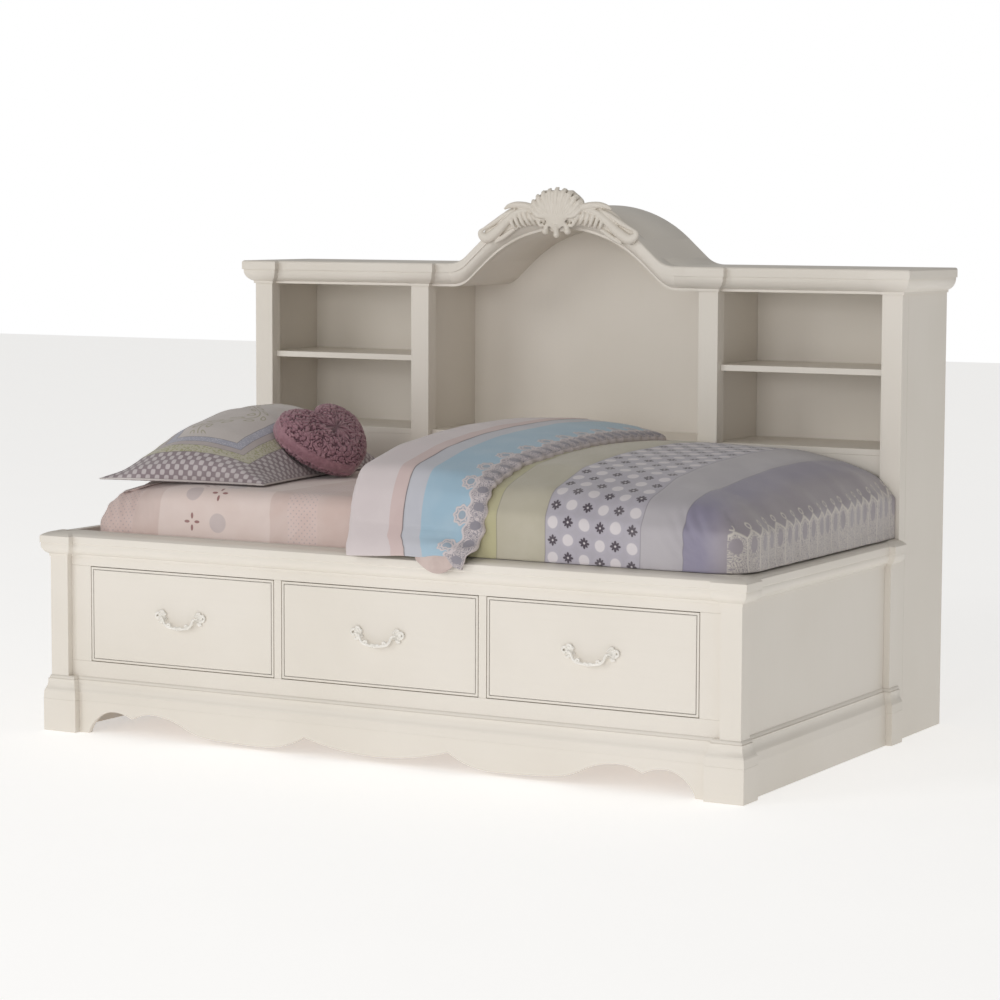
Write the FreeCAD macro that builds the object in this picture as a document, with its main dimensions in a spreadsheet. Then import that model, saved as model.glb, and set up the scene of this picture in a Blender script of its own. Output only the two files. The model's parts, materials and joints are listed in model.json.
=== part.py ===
import FreeCAD, Part

import itertools
import math
import os
import Sketcher
from FreeCAD import Placement, Rotation, Vector

# Bookcase headboard bed: a single bed along the front of a bookcase with two shelved piers,
# an arched niche between them, and three drawers under the mattress.
# Frame: origin under the centre of the whole bed on the floor, X along the bed, the drawers
# face -Y, Z up, millimetres.

doc = FreeCAD.newDocument("bookcase_bed")
sheet = doc.addObject("Spreadsheet::Sheet", "sizes")
nodes = []


class Size:
    """A length that knows its number and the sheet expression it comes from."""

    def __init__(self, value, text):
        self.value = float(value)
        self.text = text

    def __add__(self, other):
        other = size(other)
        return Size(self.value + other.value, f"({self.text} + {other.text})")

    def __sub__(self, other):
        other = size(other)
        return Size(self.value - other.value, f"({self.text} - {other.text})")

    def __mul__(self, factor):
        factor = size(factor)
        return Size(self.value * factor.value, f"({self.text} * {factor.text})")

    def __truediv__(self, factor):
        factor = size(factor)
        return Size(self.value / factor.value, f"({self.text} / {factor.text})")

    def __neg__(self):
        return Size(-self.value, f"(0 - {self.text})")

    def __radd__(self, other):
        return size(other) + self

    def __rsub__(self, other):
        return size(other) - self

    def __rmul__(self, other):
        return self * other


def size(number):
    """A plain number as a Size."""
    return number if isinstance(number, Size) else Size(number, repr(float(number)))


rows = itertools.count(1)


def dimension(alias, value, note):
    """One driving dimension: a row of the sheet with its note."""
    row = next(rows)
    sheet.set(f"A{row}", note)
    sheet.set(f"B{row}", str(value))
    sheet.setAlias(f"B{row}", alias)
    return Size(value, f"sizes.{alias}")


# --- Driving dimensions -------------------------------------------------------------------

# Base with the drawers
bed_length = dimension("bed_length", 2140, "plinth, end to end")
base_depth = dimension("base_depth", 1034, "plinth front to bookcase front")
case_height = dimension("case_height", 526, "top of the posts and the face frame")
post_width = dimension("post_width", 58, "front posts, seen from the front")
post_return = dimension("post_return", 52, "front posts, seen from the end")
front_break = dimension("front_break", 20, "posts and stiles ahead of the front frame")
end_break = dimension("end_break", 18, "posts and stiles ahead of the end panels")
back_stile_width = dimension("back_stile_width", 60, "stile at the back of each end")
panel_thick = dimension("panel_thick", 18, "end panels")
frame_thick = dimension("frame_thick", 20, "face frame round the drawers")
partition_thick = dimension("partition_thick", 18, "outer drawer partitions")
rail_low = dimension("rail_low", 75, "lower edge of the bottom rail, behind the apron")

# Plinth and its moulding
plinth_height = dimension("plinth_height", 90, "plinth boards and apron")
plinth_reach = dimension("plinth_reach", 16.5, "plinth ahead of the posts")
plinth_shoulder = dimension("plinth_shoulder", 18, "corner block wider than its post")
base_bead_reach = dimension("base_bead_reach", 4, "bead on the moulding, ahead of the posts")
base_bead_height = dimension("base_bead_height", 10, "that bead")
base_cove_reach = dimension("base_cove_reach", 7.5, "head of the cove, ahead of the posts")
base_cove_height = dimension("base_cove_height", 29, "cove")
base_cove_radius = dimension("base_cove_radius", 45, "cove")
base_step_reach = dimension("base_step_reach", 13, "foot of the cove, ahead of the posts")
base_step_height = dimension("base_step_height", 5, "sloped step under the cove")
base_band_reach = dimension("base_band_reach", 15, "band under the step, ahead of the posts")
base_band_height = dimension("base_band_height", 22, "that band")

# Scalloped apron, its right half: each place across and above the floor
apron_middle = dimension("apron_middle", 19, "lowest line of the middle lobe, above the floor")
apron_cusp_x = dimension("apron_cusp_x", 222, "cusp beside the middle lobe, across")
apron_cusp = dimension("apron_cusp", 51, "that cusp, above the floor")
apron_lobe_x = dimension("apron_lobe_x", 355, "side lobe, across")
apron_lobe = dimension("apron_lobe", 12, "side lobe, above the floor")
apron_rise_in = dimension("apron_rise_in", 433, "start of the rise, in from the apron's end")
apron_rise = dimension("apron_rise", 18, "start of the rise, above the floor")
apron_turn_in = dimension("apron_turn_in", 344, "middle of the rise, in from the apron's end")
apron_turn = dimension("apron_turn", 45, "middle of the rise, above the floor")
apron_turn_radius = dimension("apron_turn_radius", 208, "lower half of the rise")
apron_hump_in = dimension("apron_hump_in", 244, "highest line, in from the apron's end")
apron_hump = dimension("apron_hump", 67, "highest line, above the floor")
apron_tooth_in = dimension("apron_tooth_in", 178, "small cusp by the foot, in from the apron's end")
apron_tooth = dimension("apron_tooth", 50, "small cusp, above the floor")
apron_arch_in = dimension("apron_arch_in", 117, "arch beside the foot, in from the apron's end")
apron_arch = dimension("apron_arch", 65, "arch beside the foot, above the floor")
apron_foot_in = dimension("apron_foot_in", 31, "foot, in from the apron's end")

# Cap moulding round the top of the base
cap_thick = dimension("cap_thick", 33, "board on top of the base")
cap_width = dimension("cap_width", 75, "that board, outer edge to well")
cap_reach = dimension("cap_reach", 21.5, "that board ahead of the posts")
cap_edge = dimension("cap_edge", 19, "square edge of that board")
cap_round = dimension("cap_round", 35, "rounding of that board, across")
cap_quirk = dimension("cap_quirk", 1.5, "step at the inner end of the rounding")
cap_bead_reach = dimension("cap_bead_reach", 3, "bead under the cap, ahead of the posts")
cap_bead_height = dimension("cap_bead_height", 7, "that bead")
cap_ovolo_reach = dimension("cap_ovolo_reach", 19, "ovolo under the cap, ahead of the posts")
cap_ovolo_height = dimension("cap_ovolo_height", 31.5, "that ovolo")
cap_ovolo_radius = dimension("cap_ovolo_radius", 28, "that ovolo")

# Drawers and runners
drawer_count = 3
outer_stile_width = dimension("outer_stile_width", 65, "stile beside the outer drawers")
drawer_height = dimension("drawer_height", 265, "drawer opening, height")
drawer_bottom = dimension("drawer_bottom", 199, "drawer opening above the floor")
divider_width = dimension("divider_width", 23, "stile between two drawers")
drawer_gap = dimension("drawer_gap", 2, "gap round a drawer front")
front_thick = dimension("front_thick", 20, "drawer front")
bead_width = dimension("bead_width", 6, "bead round a drawer front")
groove_width = dimension("groove_width", 2, "groove inside that bead")
groove_depth = dimension("groove_depth", 1.5, "groove inside that bead")
box_depth = dimension("box_depth", 450, "drawer box, front to back")
box_height = dimension("box_height", 190, "drawer box sides")
box_lift = dimension("box_lift", 12, "drawer box above the foot of its opening")
box_thick = dimension("box_thick", 12, "drawer box boards")
floor_thick = dimension("floor_thick", 6, "drawer bottom")
floor_lift = dimension("floor_lift", 10, "drawer bottom above the foot of the box")
drawer_travel = dimension("drawer_travel", 380, "drawer, closed to open")
runner_space = dimension("runner_space", 13, "room for a runner beside the box")
runner_lap = dimension("runner_lap", 50, "runner members left nested with the drawer open")
runner_height = dimension("runner_height", 45, "outer runner member")
runner_reach = dimension("runner_reach", 9.5, "flanges of a runner member")
runner_wall = dimension("runner_wall", 1.5, "runner sheet")
runner_play = dimension("runner_play", 0.3, "clearance between runner members")
runner_level = dimension("runner_level", 306, "middle of the runners above the floor")

# Pulls
pull_level = dimension("pull_level", 342, "bail pivots above the floor")
pull_spacing = dimension("pull_spacing", 122, "pull, post to post")
pull_stand = dimension("pull_stand", 16, "bail pivot ahead of the drawer front")
plate_radius = dimension("plate_radius", 17, "backplate of a pull")
plate_thick = dimension("plate_thick", 4, "backplate of a pull")
ear_radius = dimension("ear_radius", 5, "posts that hold the bail")
ear_reach = dimension("ear_reach", 22, "those posts ahead of the drawer front")
pivot_radius = dimension("pivot_radius", 2.4, "bail pins")
pivot_play = dimension("pivot_play", 0.3, "bail pin in its post, all round")
bail_radius = dimension("bail_radius", 3.6, "bail rod")
bail_clear = dimension("bail_clear", 0.6, "bail rod beside the post")
bail_turn = dimension("bail_turn", 9, "bend at each end of the bail")
bail_bend = dimension("bail_bend", 22, "bend at each lower corner of the bail")

# Bookcase
case_inset = dimension("case_inset", 2.5, "bookcase sides inside the faces of the posts")
case_depth = dimension("case_depth", 330, "bookcase, front to back")
pier_height = dimension("pier_height", 1222, "underside of the crown")
stile_width = dimension("stile_width", 60, "bookcase stiles, front view")
stile_depth = dimension("stile_depth", 43, "bookcase stiles, end view")
niche_width = dimension("niche_width", 880, "niche between its stiles")
side_thick = dimension("side_thick", 20, "bookcase sides")
shelf_level = dimension("shelf_level", 798, "top of the fixed shelves and the ledge")
loose_level = dimension("loose_level", 1017, "top of the adjustable shelves")
shelf_thick = dimension("shelf_thick", 17, "shelves")
shelf_set_back = dimension("shelf_set_back", 2, "shelves behind the front frame plane")
shelf_play = dimension("shelf_play", 0.5, "adjustable shelf to each side")
pin_radius = dimension("pin_radius", 2.5, "shelf pins")
pin_reach = dimension("pin_reach", 9, "shelf pins out of the sides")
pin_inset = dimension("pin_inset", 40, "shelf pins from the ends of their shelf")
ceiling_thick = dimension("ceiling_thick", 12, "ceilings of the shelf compartments")
top_thick = dimension("top_thick", 18, "pier tops")
lower_board_thick = dimension("lower_board_thick", 16, "boards below the lowest shelves")
back_thick = dimension("back_thick", 6, "bookcase backs")
back_inset = dimension("back_inset", 13, "backs inside the rear edge")

# Crown and arch
crown_bead_reach = dimension("crown_bead_reach", 4, "bead at the foot of the crown")
crown_bead_height = dimension("crown_bead_height", 7, "that bead")
crown_ovolo_reach = dimension("crown_ovolo_reach", 26, "crown ovolo ahead of the stiles")
crown_ovolo_height = dimension("crown_ovolo_height", 35, "that ovolo")
crown_ovolo_radius = dimension("crown_ovolo_radius", 34, "that ovolo")
crown_reach = dimension("crown_reach", 30, "crown fascia ahead of the stiles")
crown_fascia = dimension("crown_fascia", 20, "crown fascia, below its rounding")
crown_round = dimension("crown_round", 7, "rounding on top of the crown")
arch_rise = dimension("arch_rise", 170, "arch above the straight crown")
arch_radius = dimension("arch_radius", 377, "top of the arch")
arch_foot = dimension("arch_foot", 82, "flare where the arch leaves the crown")
arch_angle = dimension("arch_angle", 42, "steepest slope of the arch, degrees")
skin_thick = dimension("skin_thick", 6, "vault roof and soffit")

# Carved crest
shell_top = dimension("shell_top", 57, "top of the shell above the arch crown")
shell_half = dimension("shell_half", 95, "half the width of the shell")
shell_side = dimension("shell_side", 7, "widest line of the shell above the arch crown")
shell_foot = dimension("shell_foot", 66, "foot of the shell below the arch crown")
shell_foot_half = dimension("shell_foot_half", 34, "half the width of the shell's foot")
shell_relief = dimension("shell_relief", 28, "shell ahead of the crown")
leaf_relief = dimension("leaf_relief", 18, "leaves ahead of the crown")
leaf_tip_x = dimension("leaf_tip_x", 172, "upper leaf tip, across")
leaf_tip = dimension("leaf_tip", 14, "upper leaf tip below the arch crown")
leaf_scroll_x = dimension("leaf_scroll_x", 248, "scroll at the end of a leaf, across")
leaf_scroll = dimension("leaf_scroll", 92, "scroll at the end of a leaf, below the arch crown")
leaf_scroll_radius = dimension("leaf_scroll_radius", 15, "that scroll")
leaf_belly_x = dimension("leaf_belly_x", 130, "underside of a leaf, across")
leaf_belly = dimension("leaf_belly", 62, "underside of a leaf, below the arch crown")
drop_radius = dimension("drop_radius", 8, "beads under the shell")
drop_spacing = dimension("drop_spacing", 35, "beads under the shell, apart")
drop_level = dimension("drop_level", 84, "middle bead below the arch crown")
drop_lift = dimension("drop_lift", 12, "outer beads above the middle one")

# Mattress support and fixings
well_depth = dimension("well_depth", 69, "slats below the top of the base")
slat_thick = dimension("slat_thick", 18, "slats")
slat_width = dimension("slat_width", 70, "slats")
slat_count = 14
slat_margin = dimension("slat_margin", 60, "outer slats from the end panels")
ledger_height = dimension("ledger_height", 25, "ledgers under the slats")
ledger_width = dimension("ledger_width", 25, "ledgers under the slats")
bolt_radius = dimension("bolt_radius", 4, "bed bolts")
bolt_play = dimension("bolt_play", 0.3, "bed bolt in its hole, all round")
bolt_head_radius = dimension("bolt_head_radius", 8, "heads and nuts of the bed bolts")
bolt_head_thick = dimension("bolt_head_thick", 5, "heads and nuts of the bed bolts")

# Bedding. Places along the bed are from its middle, places across it from the plinth's front.
bedding_gap = dimension("bedding_gap", 0.3, "clearance round soft pieces")
mattress_end_gap = dimension("mattress_end_gap", 47.5, "mattress to each end of the well")
mattress_side_gap = dimension("mattress_side_gap", 2, "mattress to the well's front and to the bookcase")
mattress_thick = dimension("mattress_thick", 203, "mattress, bottom to top")
mattress_corner = dimension("mattress_corner", 60, "upright corners of the mattress")
mattress_edge = dimension("mattress_edge", 35, "edges of the mattress")
duvet_front = dimension("duvet_front", 51, "front of the duvet behind the plinth's front")
cover_upright = dimension("cover_upright", 50, "upright foot of the duvet's front")
cover_brow = dimension("cover_brow", 38, "tight bend of the duvet's shoulder, across")
cover_brow_rise = dimension("cover_brow_rise", 58, "that bend, up")
cover_brow_radius = dimension("cover_brow_radius", 63, "that bend, radius")
cover_shoulder = dimension("cover_shoulder", 204, "whole shoulder of the duvet, across")
cover_shoulder_radius = dimension("cover_shoulder_radius", 610, "gentle bend of the shoulder")
cover_top_radius = dimension("cover_top_radius", 3600, "crown of the duvet's top")
fold_skirt = dimension("fold_skirt", 12, "hanging corner of the fold ahead of the cap")
fold_hem = dimension("fold_hem", 42, "hem of that corner below the top of the cap")
fold_lean = dimension("fold_lean", 45, "slope of the fold above its skirt")
pillow_hem = dimension("pillow_hem", 10, "edge of the pillow")
pillow_apex_in = dimension("pillow_apex_in", 192.5, "highest line of the pillow, in from the mattress end")
heart_in = dimension("heart_in", 456.5, "middle of the heart cushion, in from the mattress end")
heart_y = dimension("heart_y", 566.5, "middle of the heart cushion behind the plinth's front")
heart_lift = dimension("heart_lift", 100, "middle of the heart cushion above the mattress")
heart_half = dimension("heart_half", 163, "half the width of the heart cushion")
heart_lobe = dimension("heart_lobe", 85, "lobes of the heart cushion, radius")
heart_lobe_level = dimension("heart_lobe_level", 36, "middle of the lobes above the middle")
heart_tip = dimension("heart_tip", 124, "tip of the heart cushion below its middle")
heart_side_radius = dimension("heart_side_radius", 218, "sides of the heart cushion")
heart_turn = dimension("heart_turn", 80, "heart cushion turned about its upright, degrees")
heart_back = dimension("heart_back", 49, "heart cushion leaning back, degrees")
heart_roll = dimension("heart_roll", -5, "heart cushion rolled in its own plane, degrees")
heart_depth = dimension("heart_depth", 118, "heart cushion, front to back")
heart_sweep = dimension("heart_sweep", 76, "how far round its edge the heart's crown runs, degrees")
heart_steps = 8

# Duvet: sections along the bed, each with three heights above the top of the mattress
duvet_head_front = dimension("duvet_head_front", -9, "top of the upright front there")
duvet_head_roll = dimension("duvet_head_roll", 79, "end of the shoulder there")
duvet_head_back = dimension("duvet_head_back", 83, "back edge there")
duvet_middle_in = dimension("duvet_middle_in", 522.5, "middle section, in from the foot of the mattress")
duvet_middle_front = dimension("duvet_middle_front", -9, "top of the upright front there")
duvet_middle_roll = dimension("duvet_middle_roll", 91, "end of the shoulder there")
duvet_middle_back = dimension("duvet_middle_back", 103, "back edge there")
duvet_crown_in = dimension("duvet_crown_in", 192.5, "crown section, in from the foot of the mattress")
duvet_crown_front = dimension("duvet_crown_front", -19, "top of the upright front there")
duvet_crown_roll = dimension("duvet_crown_roll", 85, "end of the shoulder there")
duvet_crown_back = dimension("duvet_crown_back", 101, "back edge there")
duvet_slope_in = dimension("duvet_slope_in", 67.5, "slope section, in from the foot of the mattress")
duvet_slope_front = dimension("duvet_slope_front", -43, "top of the upright front there")
duvet_slope_roll = dimension("duvet_slope_roll", 59, "end of the shoulder there")
duvet_slope_back = dimension("duvet_slope_back", 81, "back edge there")
duvet_brow_in = dimension("duvet_brow_in", -32.5, "brow section, in from the foot of the mattress")
duvet_brow_front = dimension("duvet_brow_front", -53, "top of the upright front there")
duvet_brow_roll = dimension("duvet_brow_roll", 25, "end of the shoulder there")
duvet_brow_back = dimension("duvet_brow_back", 49, "back edge there")
duvet_foot_in = dimension("duvet_foot_in", -81.5, "foot section, in from the foot of the mattress")
duvet_foot_front = dimension("duvet_foot_front", -73, "top of the upright front there")
duvet_foot_roll = dimension("duvet_foot_roll", -31, "end of the shoulder there")
duvet_foot_back = dimension("duvet_foot_back", -21, "back edge there")

# Turned-back part of the duvet: the same, its sections placed from the middle of the bed
fold_start_x = dimension("fold_start_x", -88, "start section, across")
fold_start_front = dimension("fold_start_front", -9, "top of the upright front there")
fold_start_roll = dimension("fold_start_roll", 89, "end of the shoulder there")
fold_start_back = dimension("fold_start_back", 115, "back edge there")
fold_rise_x = dimension("fold_rise_x", -70, "rise section, across")
fold_rise_front = dimension("fold_rise_front", 21, "top of the upright front there")
fold_rise_roll = dimension("fold_rise_roll", 121, "end of the shoulder there")
fold_rise_back = dimension("fold_rise_back", 147, "back edge there")
fold_ridge_x = dimension("fold_ridge_x", 20, "ridge section, across")
fold_ridge_front = dimension("fold_ridge_front", 31, "top of the upright front there")
fold_ridge_roll = dimension("fold_ridge_roll", 129, "end of the shoulder there")
fold_ridge_back = dimension("fold_ridge_back", 155, "back edge there")
fold_lap_x = dimension("fold_lap_x", 180, "lap section, across")
fold_lap_front = dimension("fold_lap_front", 23, "top of the upright front there")
fold_lap_roll = dimension("fold_lap_roll", 129, "end of the shoulder there")
fold_lap_back = dimension("fold_lap_back", 149, "back edge there")
fold_hem_x = dimension("fold_hem_x", 345, "hem section, across")
fold_hem_front = dimension("fold_hem_front", 7, "top of the upright front there")
fold_hem_roll = dimension("fold_hem_roll", 109, "end of the shoulder there")
fold_hem_back = dimension("fold_hem_back", 125, "back edge there")

# Pillow: sections from the front to the back, each with its edges, in from the mattress end
pillow_front_y = dimension("pillow_front_y", 124, "front section, behind the plinth's front")
pillow_front_left = dimension("pillow_front_left", -19.5, "left edge there")
pillow_front_right = dimension("pillow_front_right", 488.5, "right edge there")
pillow_front_rise = dimension("pillow_front_rise", 6, "crown above the edges there")
pillow_near_y = dimension("pillow_near_y", 210, "near section, behind the plinth's front")
pillow_near_left = dimension("pillow_near_left", 2.5, "left edge there")
pillow_near_right = dimension("pillow_near_right", 470.5, "right edge there")
pillow_near_rise = dimension("pillow_near_rise", 74, "crown above the edges there")
pillow_quarter_y = dimension("pillow_quarter_y", 340, "quarter section, behind the plinth's front")
pillow_quarter_left = dimension("pillow_quarter_left", 8.5, "left edge there")
pillow_quarter_right = dimension("pillow_quarter_right", 464.5, "right edge there")
pillow_quarter_rise = dimension("pillow_quarter_rise", 136, "crown above the edges there")
pillow_middle_y = dimension("pillow_middle_y", 520, "middle section, behind the plinth's front")
pillow_middle_left = dimension("pillow_middle_left", 10.5, "left edge there")
pillow_middle_right = dimension("pillow_middle_right", 462.5, "right edge there")
pillow_middle_rise = dimension("pillow_middle_rise", 176, "crown above the edges there")
pillow_far_y = dimension("pillow_far_y", 720, "far section, behind the plinth's front")
pillow_far_left = dimension("pillow_far_left", 8.5, "left edge there")
pillow_far_right = dimension("pillow_far_right", 464.5, "right edge there")
pillow_far_rise = dimension("pillow_far_rise", 180, "crown above the edges there")
pillow_rear_y = dimension("pillow_rear_y", 850, "rear section, behind the plinth's front")
pillow_rear_left = dimension("pillow_rear_left", 2.5, "left edge there")
pillow_rear_right = dimension("pillow_rear_right", 472.5, "right edge there")
pillow_rear_rise = dimension("pillow_rear_rise", 130, "crown above the edges there")
pillow_back_y = dimension("pillow_back_y", 915, "back section, behind the plinth's front")
pillow_back_left = dimension("pillow_back_left", -15.5, "left edge there")
pillow_back_right = dimension("pillow_back_right", 484.5, "right edge there")
pillow_back_rise = dimension("pillow_back_rise", 60, "crown above the edges there")

# --- Derived planes -----------------------------------------------------------------------

cap_overhang = cap_reach - plinth_reach
fold_reach = fold_skirt + cap_overhang
overall_depth = fold_reach + base_depth + case_depth
y_plinth = fold_reach - overall_depth / 2
y_post = y_plinth + plinth_reach
y_frame = y_post + front_break
y_frame_back = y_frame + frame_thick
y_case = y_plinth + base_depth
y_back = y_case + case_depth
y_recess = y_case + front_break
y_lining = y_back - back_inset - back_thick
y_stile_back = y_case + stile_depth
x_post = bed_length / 2 - plinth_reach
x_frame = x_post - post_width
x_panel = x_post - end_break
x_inside = x_panel - panel_thick
x_block = x_frame - plinth_shoulder
x_apron = x_block - plinth_reach
x_openings = x_frame - outer_stile_width
drawer_opening = (x_openings * 2 - divider_width * (drawer_count - 1)) / drawer_count
x_case = x_post - case_inset
x_outer_stile = x_case - stile_width
x_niche = niche_width / 2
x_inner_stile = x_niche + stile_width
x_lining = x_case - side_thick
x_inner_side = x_niche + side_thick
x_bay = x_inner_side + side_thick
drawer_top = drawer_bottom + drawer_height
slat_top = case_height + cap_thick - well_depth
crown_height = crown_bead_height + crown_ovolo_height + crown_fascia + crown_round
crown_top = pier_height + crown_height
cap_top = case_height + cap_thick
runner_length = drawer_travel + runner_lap
mattress_top = slat_top + mattress_thick
x_well = x_post + cap_reach - cap_width
y_well = y_post - cap_reach + cap_width
x_mattress = x_well - mattress_end_gap
y_mattress = y_well + mattress_side_gap
mattress_width = y_case - mattress_side_gap - y_mattress
base_mould_height = base_band_height + base_step_height + base_cove_height + base_bead_height
duvet_stations = [
    (size(0), duvet_head_front, duvet_head_roll, duvet_head_back),
    (x_mattress - duvet_middle_in, duvet_middle_front, duvet_middle_roll, duvet_middle_back),
    (x_mattress - duvet_crown_in, duvet_crown_front, duvet_crown_roll, duvet_crown_back),
    (x_mattress - duvet_slope_in, duvet_slope_front, duvet_slope_roll, duvet_slope_back),
    (x_mattress - duvet_brow_in, duvet_brow_front, duvet_brow_roll, duvet_brow_back),
    (x_mattress - duvet_foot_in, duvet_foot_front, duvet_foot_roll, duvet_foot_back),
]
fold_stations = [
    (fold_start_x, fold_start_front, fold_start_roll, fold_start_back),
    (fold_rise_x, fold_rise_front, fold_rise_roll, fold_rise_back),
    (fold_ridge_x, fold_ridge_front, fold_ridge_roll, fold_ridge_back),
    (fold_lap_x, fold_lap_front, fold_lap_roll, fold_lap_back),
    (fold_hem_x, fold_hem_front, fold_hem_roll, fold_hem_back),
]
pillow_stations = [
    (pillow_front_y, pillow_front_left, pillow_front_right, pillow_front_rise),
    (pillow_near_y, pillow_near_left, pillow_near_right, pillow_near_rise),
    (pillow_quarter_y, pillow_quarter_left, pillow_quarter_right, pillow_quarter_rise),
    (pillow_middle_y, pillow_middle_left, pillow_middle_right, pillow_middle_rise),
    (pillow_far_y, pillow_far_left, pillow_far_right, pillow_far_rise),
    (pillow_rear_y, pillow_rear_left, pillow_rear_right, pillow_rear_rise),
    (pillow_back_y, pillow_back_left, pillow_back_right, pillow_back_rise),
]


# --- Construction helpers -----------------------------------------------------------------


def keep(piece, name):
    """Make a finished object a sub-part of the bed under its own name."""
    piece.Label = name
    nodes.append(piece)
    return piece


def place(piece, x=0, y=0, z=0):
    """Put an object's own origin at a point given by sizes."""
    for axis, where in zip("xyz", (x, y, z)):
        piece.setExpression(f"Placement.Base.{axis}", size(where).text)
    return piece


def board(name, x, y, z):
    """A rectangular board between two planes along each axis."""
    box = doc.addObject("Part::Box", name)
    for side, (low, high) in zip(("Length", "Width", "Height"), (x, y, z)):
        box.setExpression(side, (size(high) - low).text)
    return place(box, x[0], y[0], z[0])


def rod(name, radius, length, x, y, z, axis):
    """A round rod from a point along a unit axis."""
    cylinder = doc.addObject("Part::Cylinder", name)
    cylinder.setExpression("Radius", size(radius).text)
    cylinder.setExpression("Height", size(length).text)
    cylinder.Placement = Placement(Vector(), Rotation(Vector(0, 0, 1), axis))
    return place(cylinder, x, y, z)


def group(name, pieces):
    """Several separate solids that share one sub-part."""
    compound = doc.addObject("Part::Compound", name)
    compound.Links = pieces
    return compound


def fuse(name, pieces):
    """One solid glued up from touching or overlapping solids."""
    union = doc.addObject("Part::MultiFuse", name)
    union.Shapes = pieces
    union.Refine = True
    return union


def cut(name, base, tool):
    """A solid less another."""
    result = doc.addObject("Part::Cut", name)
    result.Base = base
    result.Tool = tool
    return result


def common(name, base, tool):
    """What two solids share."""
    result = doc.addObject("Part::Common", name)
    result.Base = base
    result.Tool = tool
    return result


def mirrored(name, piece):
    """The same piece on the other side of the bed's middle."""
    mirror = doc.addObject("Part::Mirroring", name)
    mirror.Source = piece
    mirror.Base = Vector(0, 0, 0)
    mirror.Normal = Vector(1, 0, 0)
    return mirror


def pair(name, piece):
    """A right-hand piece and its left-hand mirror as one sub-part."""
    return keep(group(name, [piece, mirrored(f"{name}_left", piece)]), name)


def new_body(name, x=0, y=0, z=0):
    """A body with its origin at a point given by sizes."""
    return place(doc.addObject("PartDesign::Body", name), x, y, z)


def origin_plane(body, role):
    return next(feature for feature in body.Origin.OriginFeatures if feature.Role == role)


def arc_between(start, end, radius, side):
    """Arc geometry from start to end; side is +1 where it bulges to the left of the way."""
    chord = end - start
    middle = (start + end) * 0.5
    left = Vector(-chord.y, chord.x, 0).normalize()
    rise = math.sqrt(max(radius ** 2 - (chord.Length / 2) ** 2, 0.0))
    centre = middle - left * rise * side
    first, last = (end, start) if side > 0 else (start, end)
    angles = [math.atan2(p.y - centre.y, p.x - centre.x) for p in (first, last)]
    circle = Part.Circle(centre, Vector(0, 0, 1), radius)
    return Part.ArcOfCircle(circle, angles[0], angles[1]), side > 0


def outline(body, name, plane, corners, closed=True):
    """A sketch through corners (across, up) in sizes, on one of the body's own planes.

    A corner may hold a radius and a side as well: the way to the next corner is then an arc.
    """
    sketch = body.newObject("Sketcher::SketchObject", name)
    sketch.AttachmentSupport = (origin_plane(body, plane), [""])
    sketch.MapMode = "FlatFace"
    spots = [(size(corner[0]), size(corner[1])) for corner in corners]
    points = [Vector(across.value, up.value, 0) for across, up in spots]
    count = len(corners) if closed else len(corners) - 1
    starts, ends = [], []
    for index in range(count):
        start = points[index]
        end = points[(index + 1) % len(points)]
        if len(corners[index]) == 4:
            radius, side = corners[index][2:]
            shape, turned = arc_between(start, end, size(radius).value, side)
            edge = sketch.addGeometry(shape, False)
            rule = sketch.addConstraint(Sketcher.Constraint("Radius", edge, size(radius).value))
            sketch.setExpression(f"Constraints[{rule}]", size(radius).text)
        else:
            turned = False
            edge = sketch.addGeometry(Part.LineSegment(start, end), False)
        starts.append((edge, 2 if turned else 1))
        ends.append((edge, 1 if turned else 2))
    for index in range(count if closed else count - 1):
        sketch.addConstraint(Sketcher.Constraint("Coincident", *ends[index], *starts[(index + 1) % count]))
    anchors = starts if closed else starts + [ends[-1]]
    for (edge, end), spot in zip(anchors, spots):
        for rule_name, where in zip(("DistanceX", "DistanceY"), spot):
            rule = sketch.addConstraint(Sketcher.Constraint(rule_name, -1, 1, edge, end, where.value))
            sketch.setExpression(f"Constraints[{rule}]", where.text)
    return sketch


def pad(body, sketch, length, reverse=False):
    """Thicken a sketch; on the XZ plane a plain pad grows towards the front."""
    feature = body.newObject("PartDesign::Pad", f"{body.Name}_pad")
    feature.Profile = sketch
    feature.setExpression("Length", size(length).text)
    feature.Reversed = reverse
    sketch.Visibility = False
    return feature


def shaped_board(name, corners, y_back_face, thickness):
    """A board standing across the bed, cut to an outline of (x, z) corners."""
    body = new_body(name, 0, y_back_face, 0)
    pad(body, outline(body, f"{name}_outline", "XZ_Plane", corners), thickness)
    return body


def pipe(body, profile, path, mode="Standard"):
    """Run a moulding's section along a path, mitred at the corners."""
    feature = body.newObject("PartDesign::AdditivePipe", f"{body.Name}_run")
    feature.Profile = profile
    feature.Spine = path
    feature.Mode = mode
    feature.Transition = "Right corner"
    return feature


def sine(angle):
    return Size(math.sin(math.radians(angle.value)), f"sin({angle.text})")


def cosine(angle):
    return Size(math.cos(math.radians(angle.value)), f"cos({angle.text})")


def root(square):
    return Size(math.sqrt(square.value), f"sqrt({square.text})")


def level_arc(across, up):
    """Radius of an arc that runs level at one end and gets across and up to the other."""
    return (across * across + up * up) / (up * 2)


def flipped(corners):
    """The corners of a right half, turned into the left half and run the other way."""
    return [(-size(across), up) for across, up in reversed(corners)]


def mirrored_run(corners):
    """An open run from the middle outwards, completed to its mirror with every arc kept."""
    left = []
    for index in range(len(corners) - 1, 0, -1):
        arc = corners[index - 1][2:]
        left.append((-size(corners[index][0]), corners[index][1], *arc))
    return left + corners


# --- Base ---------------------------------------------------------------------------------


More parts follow.
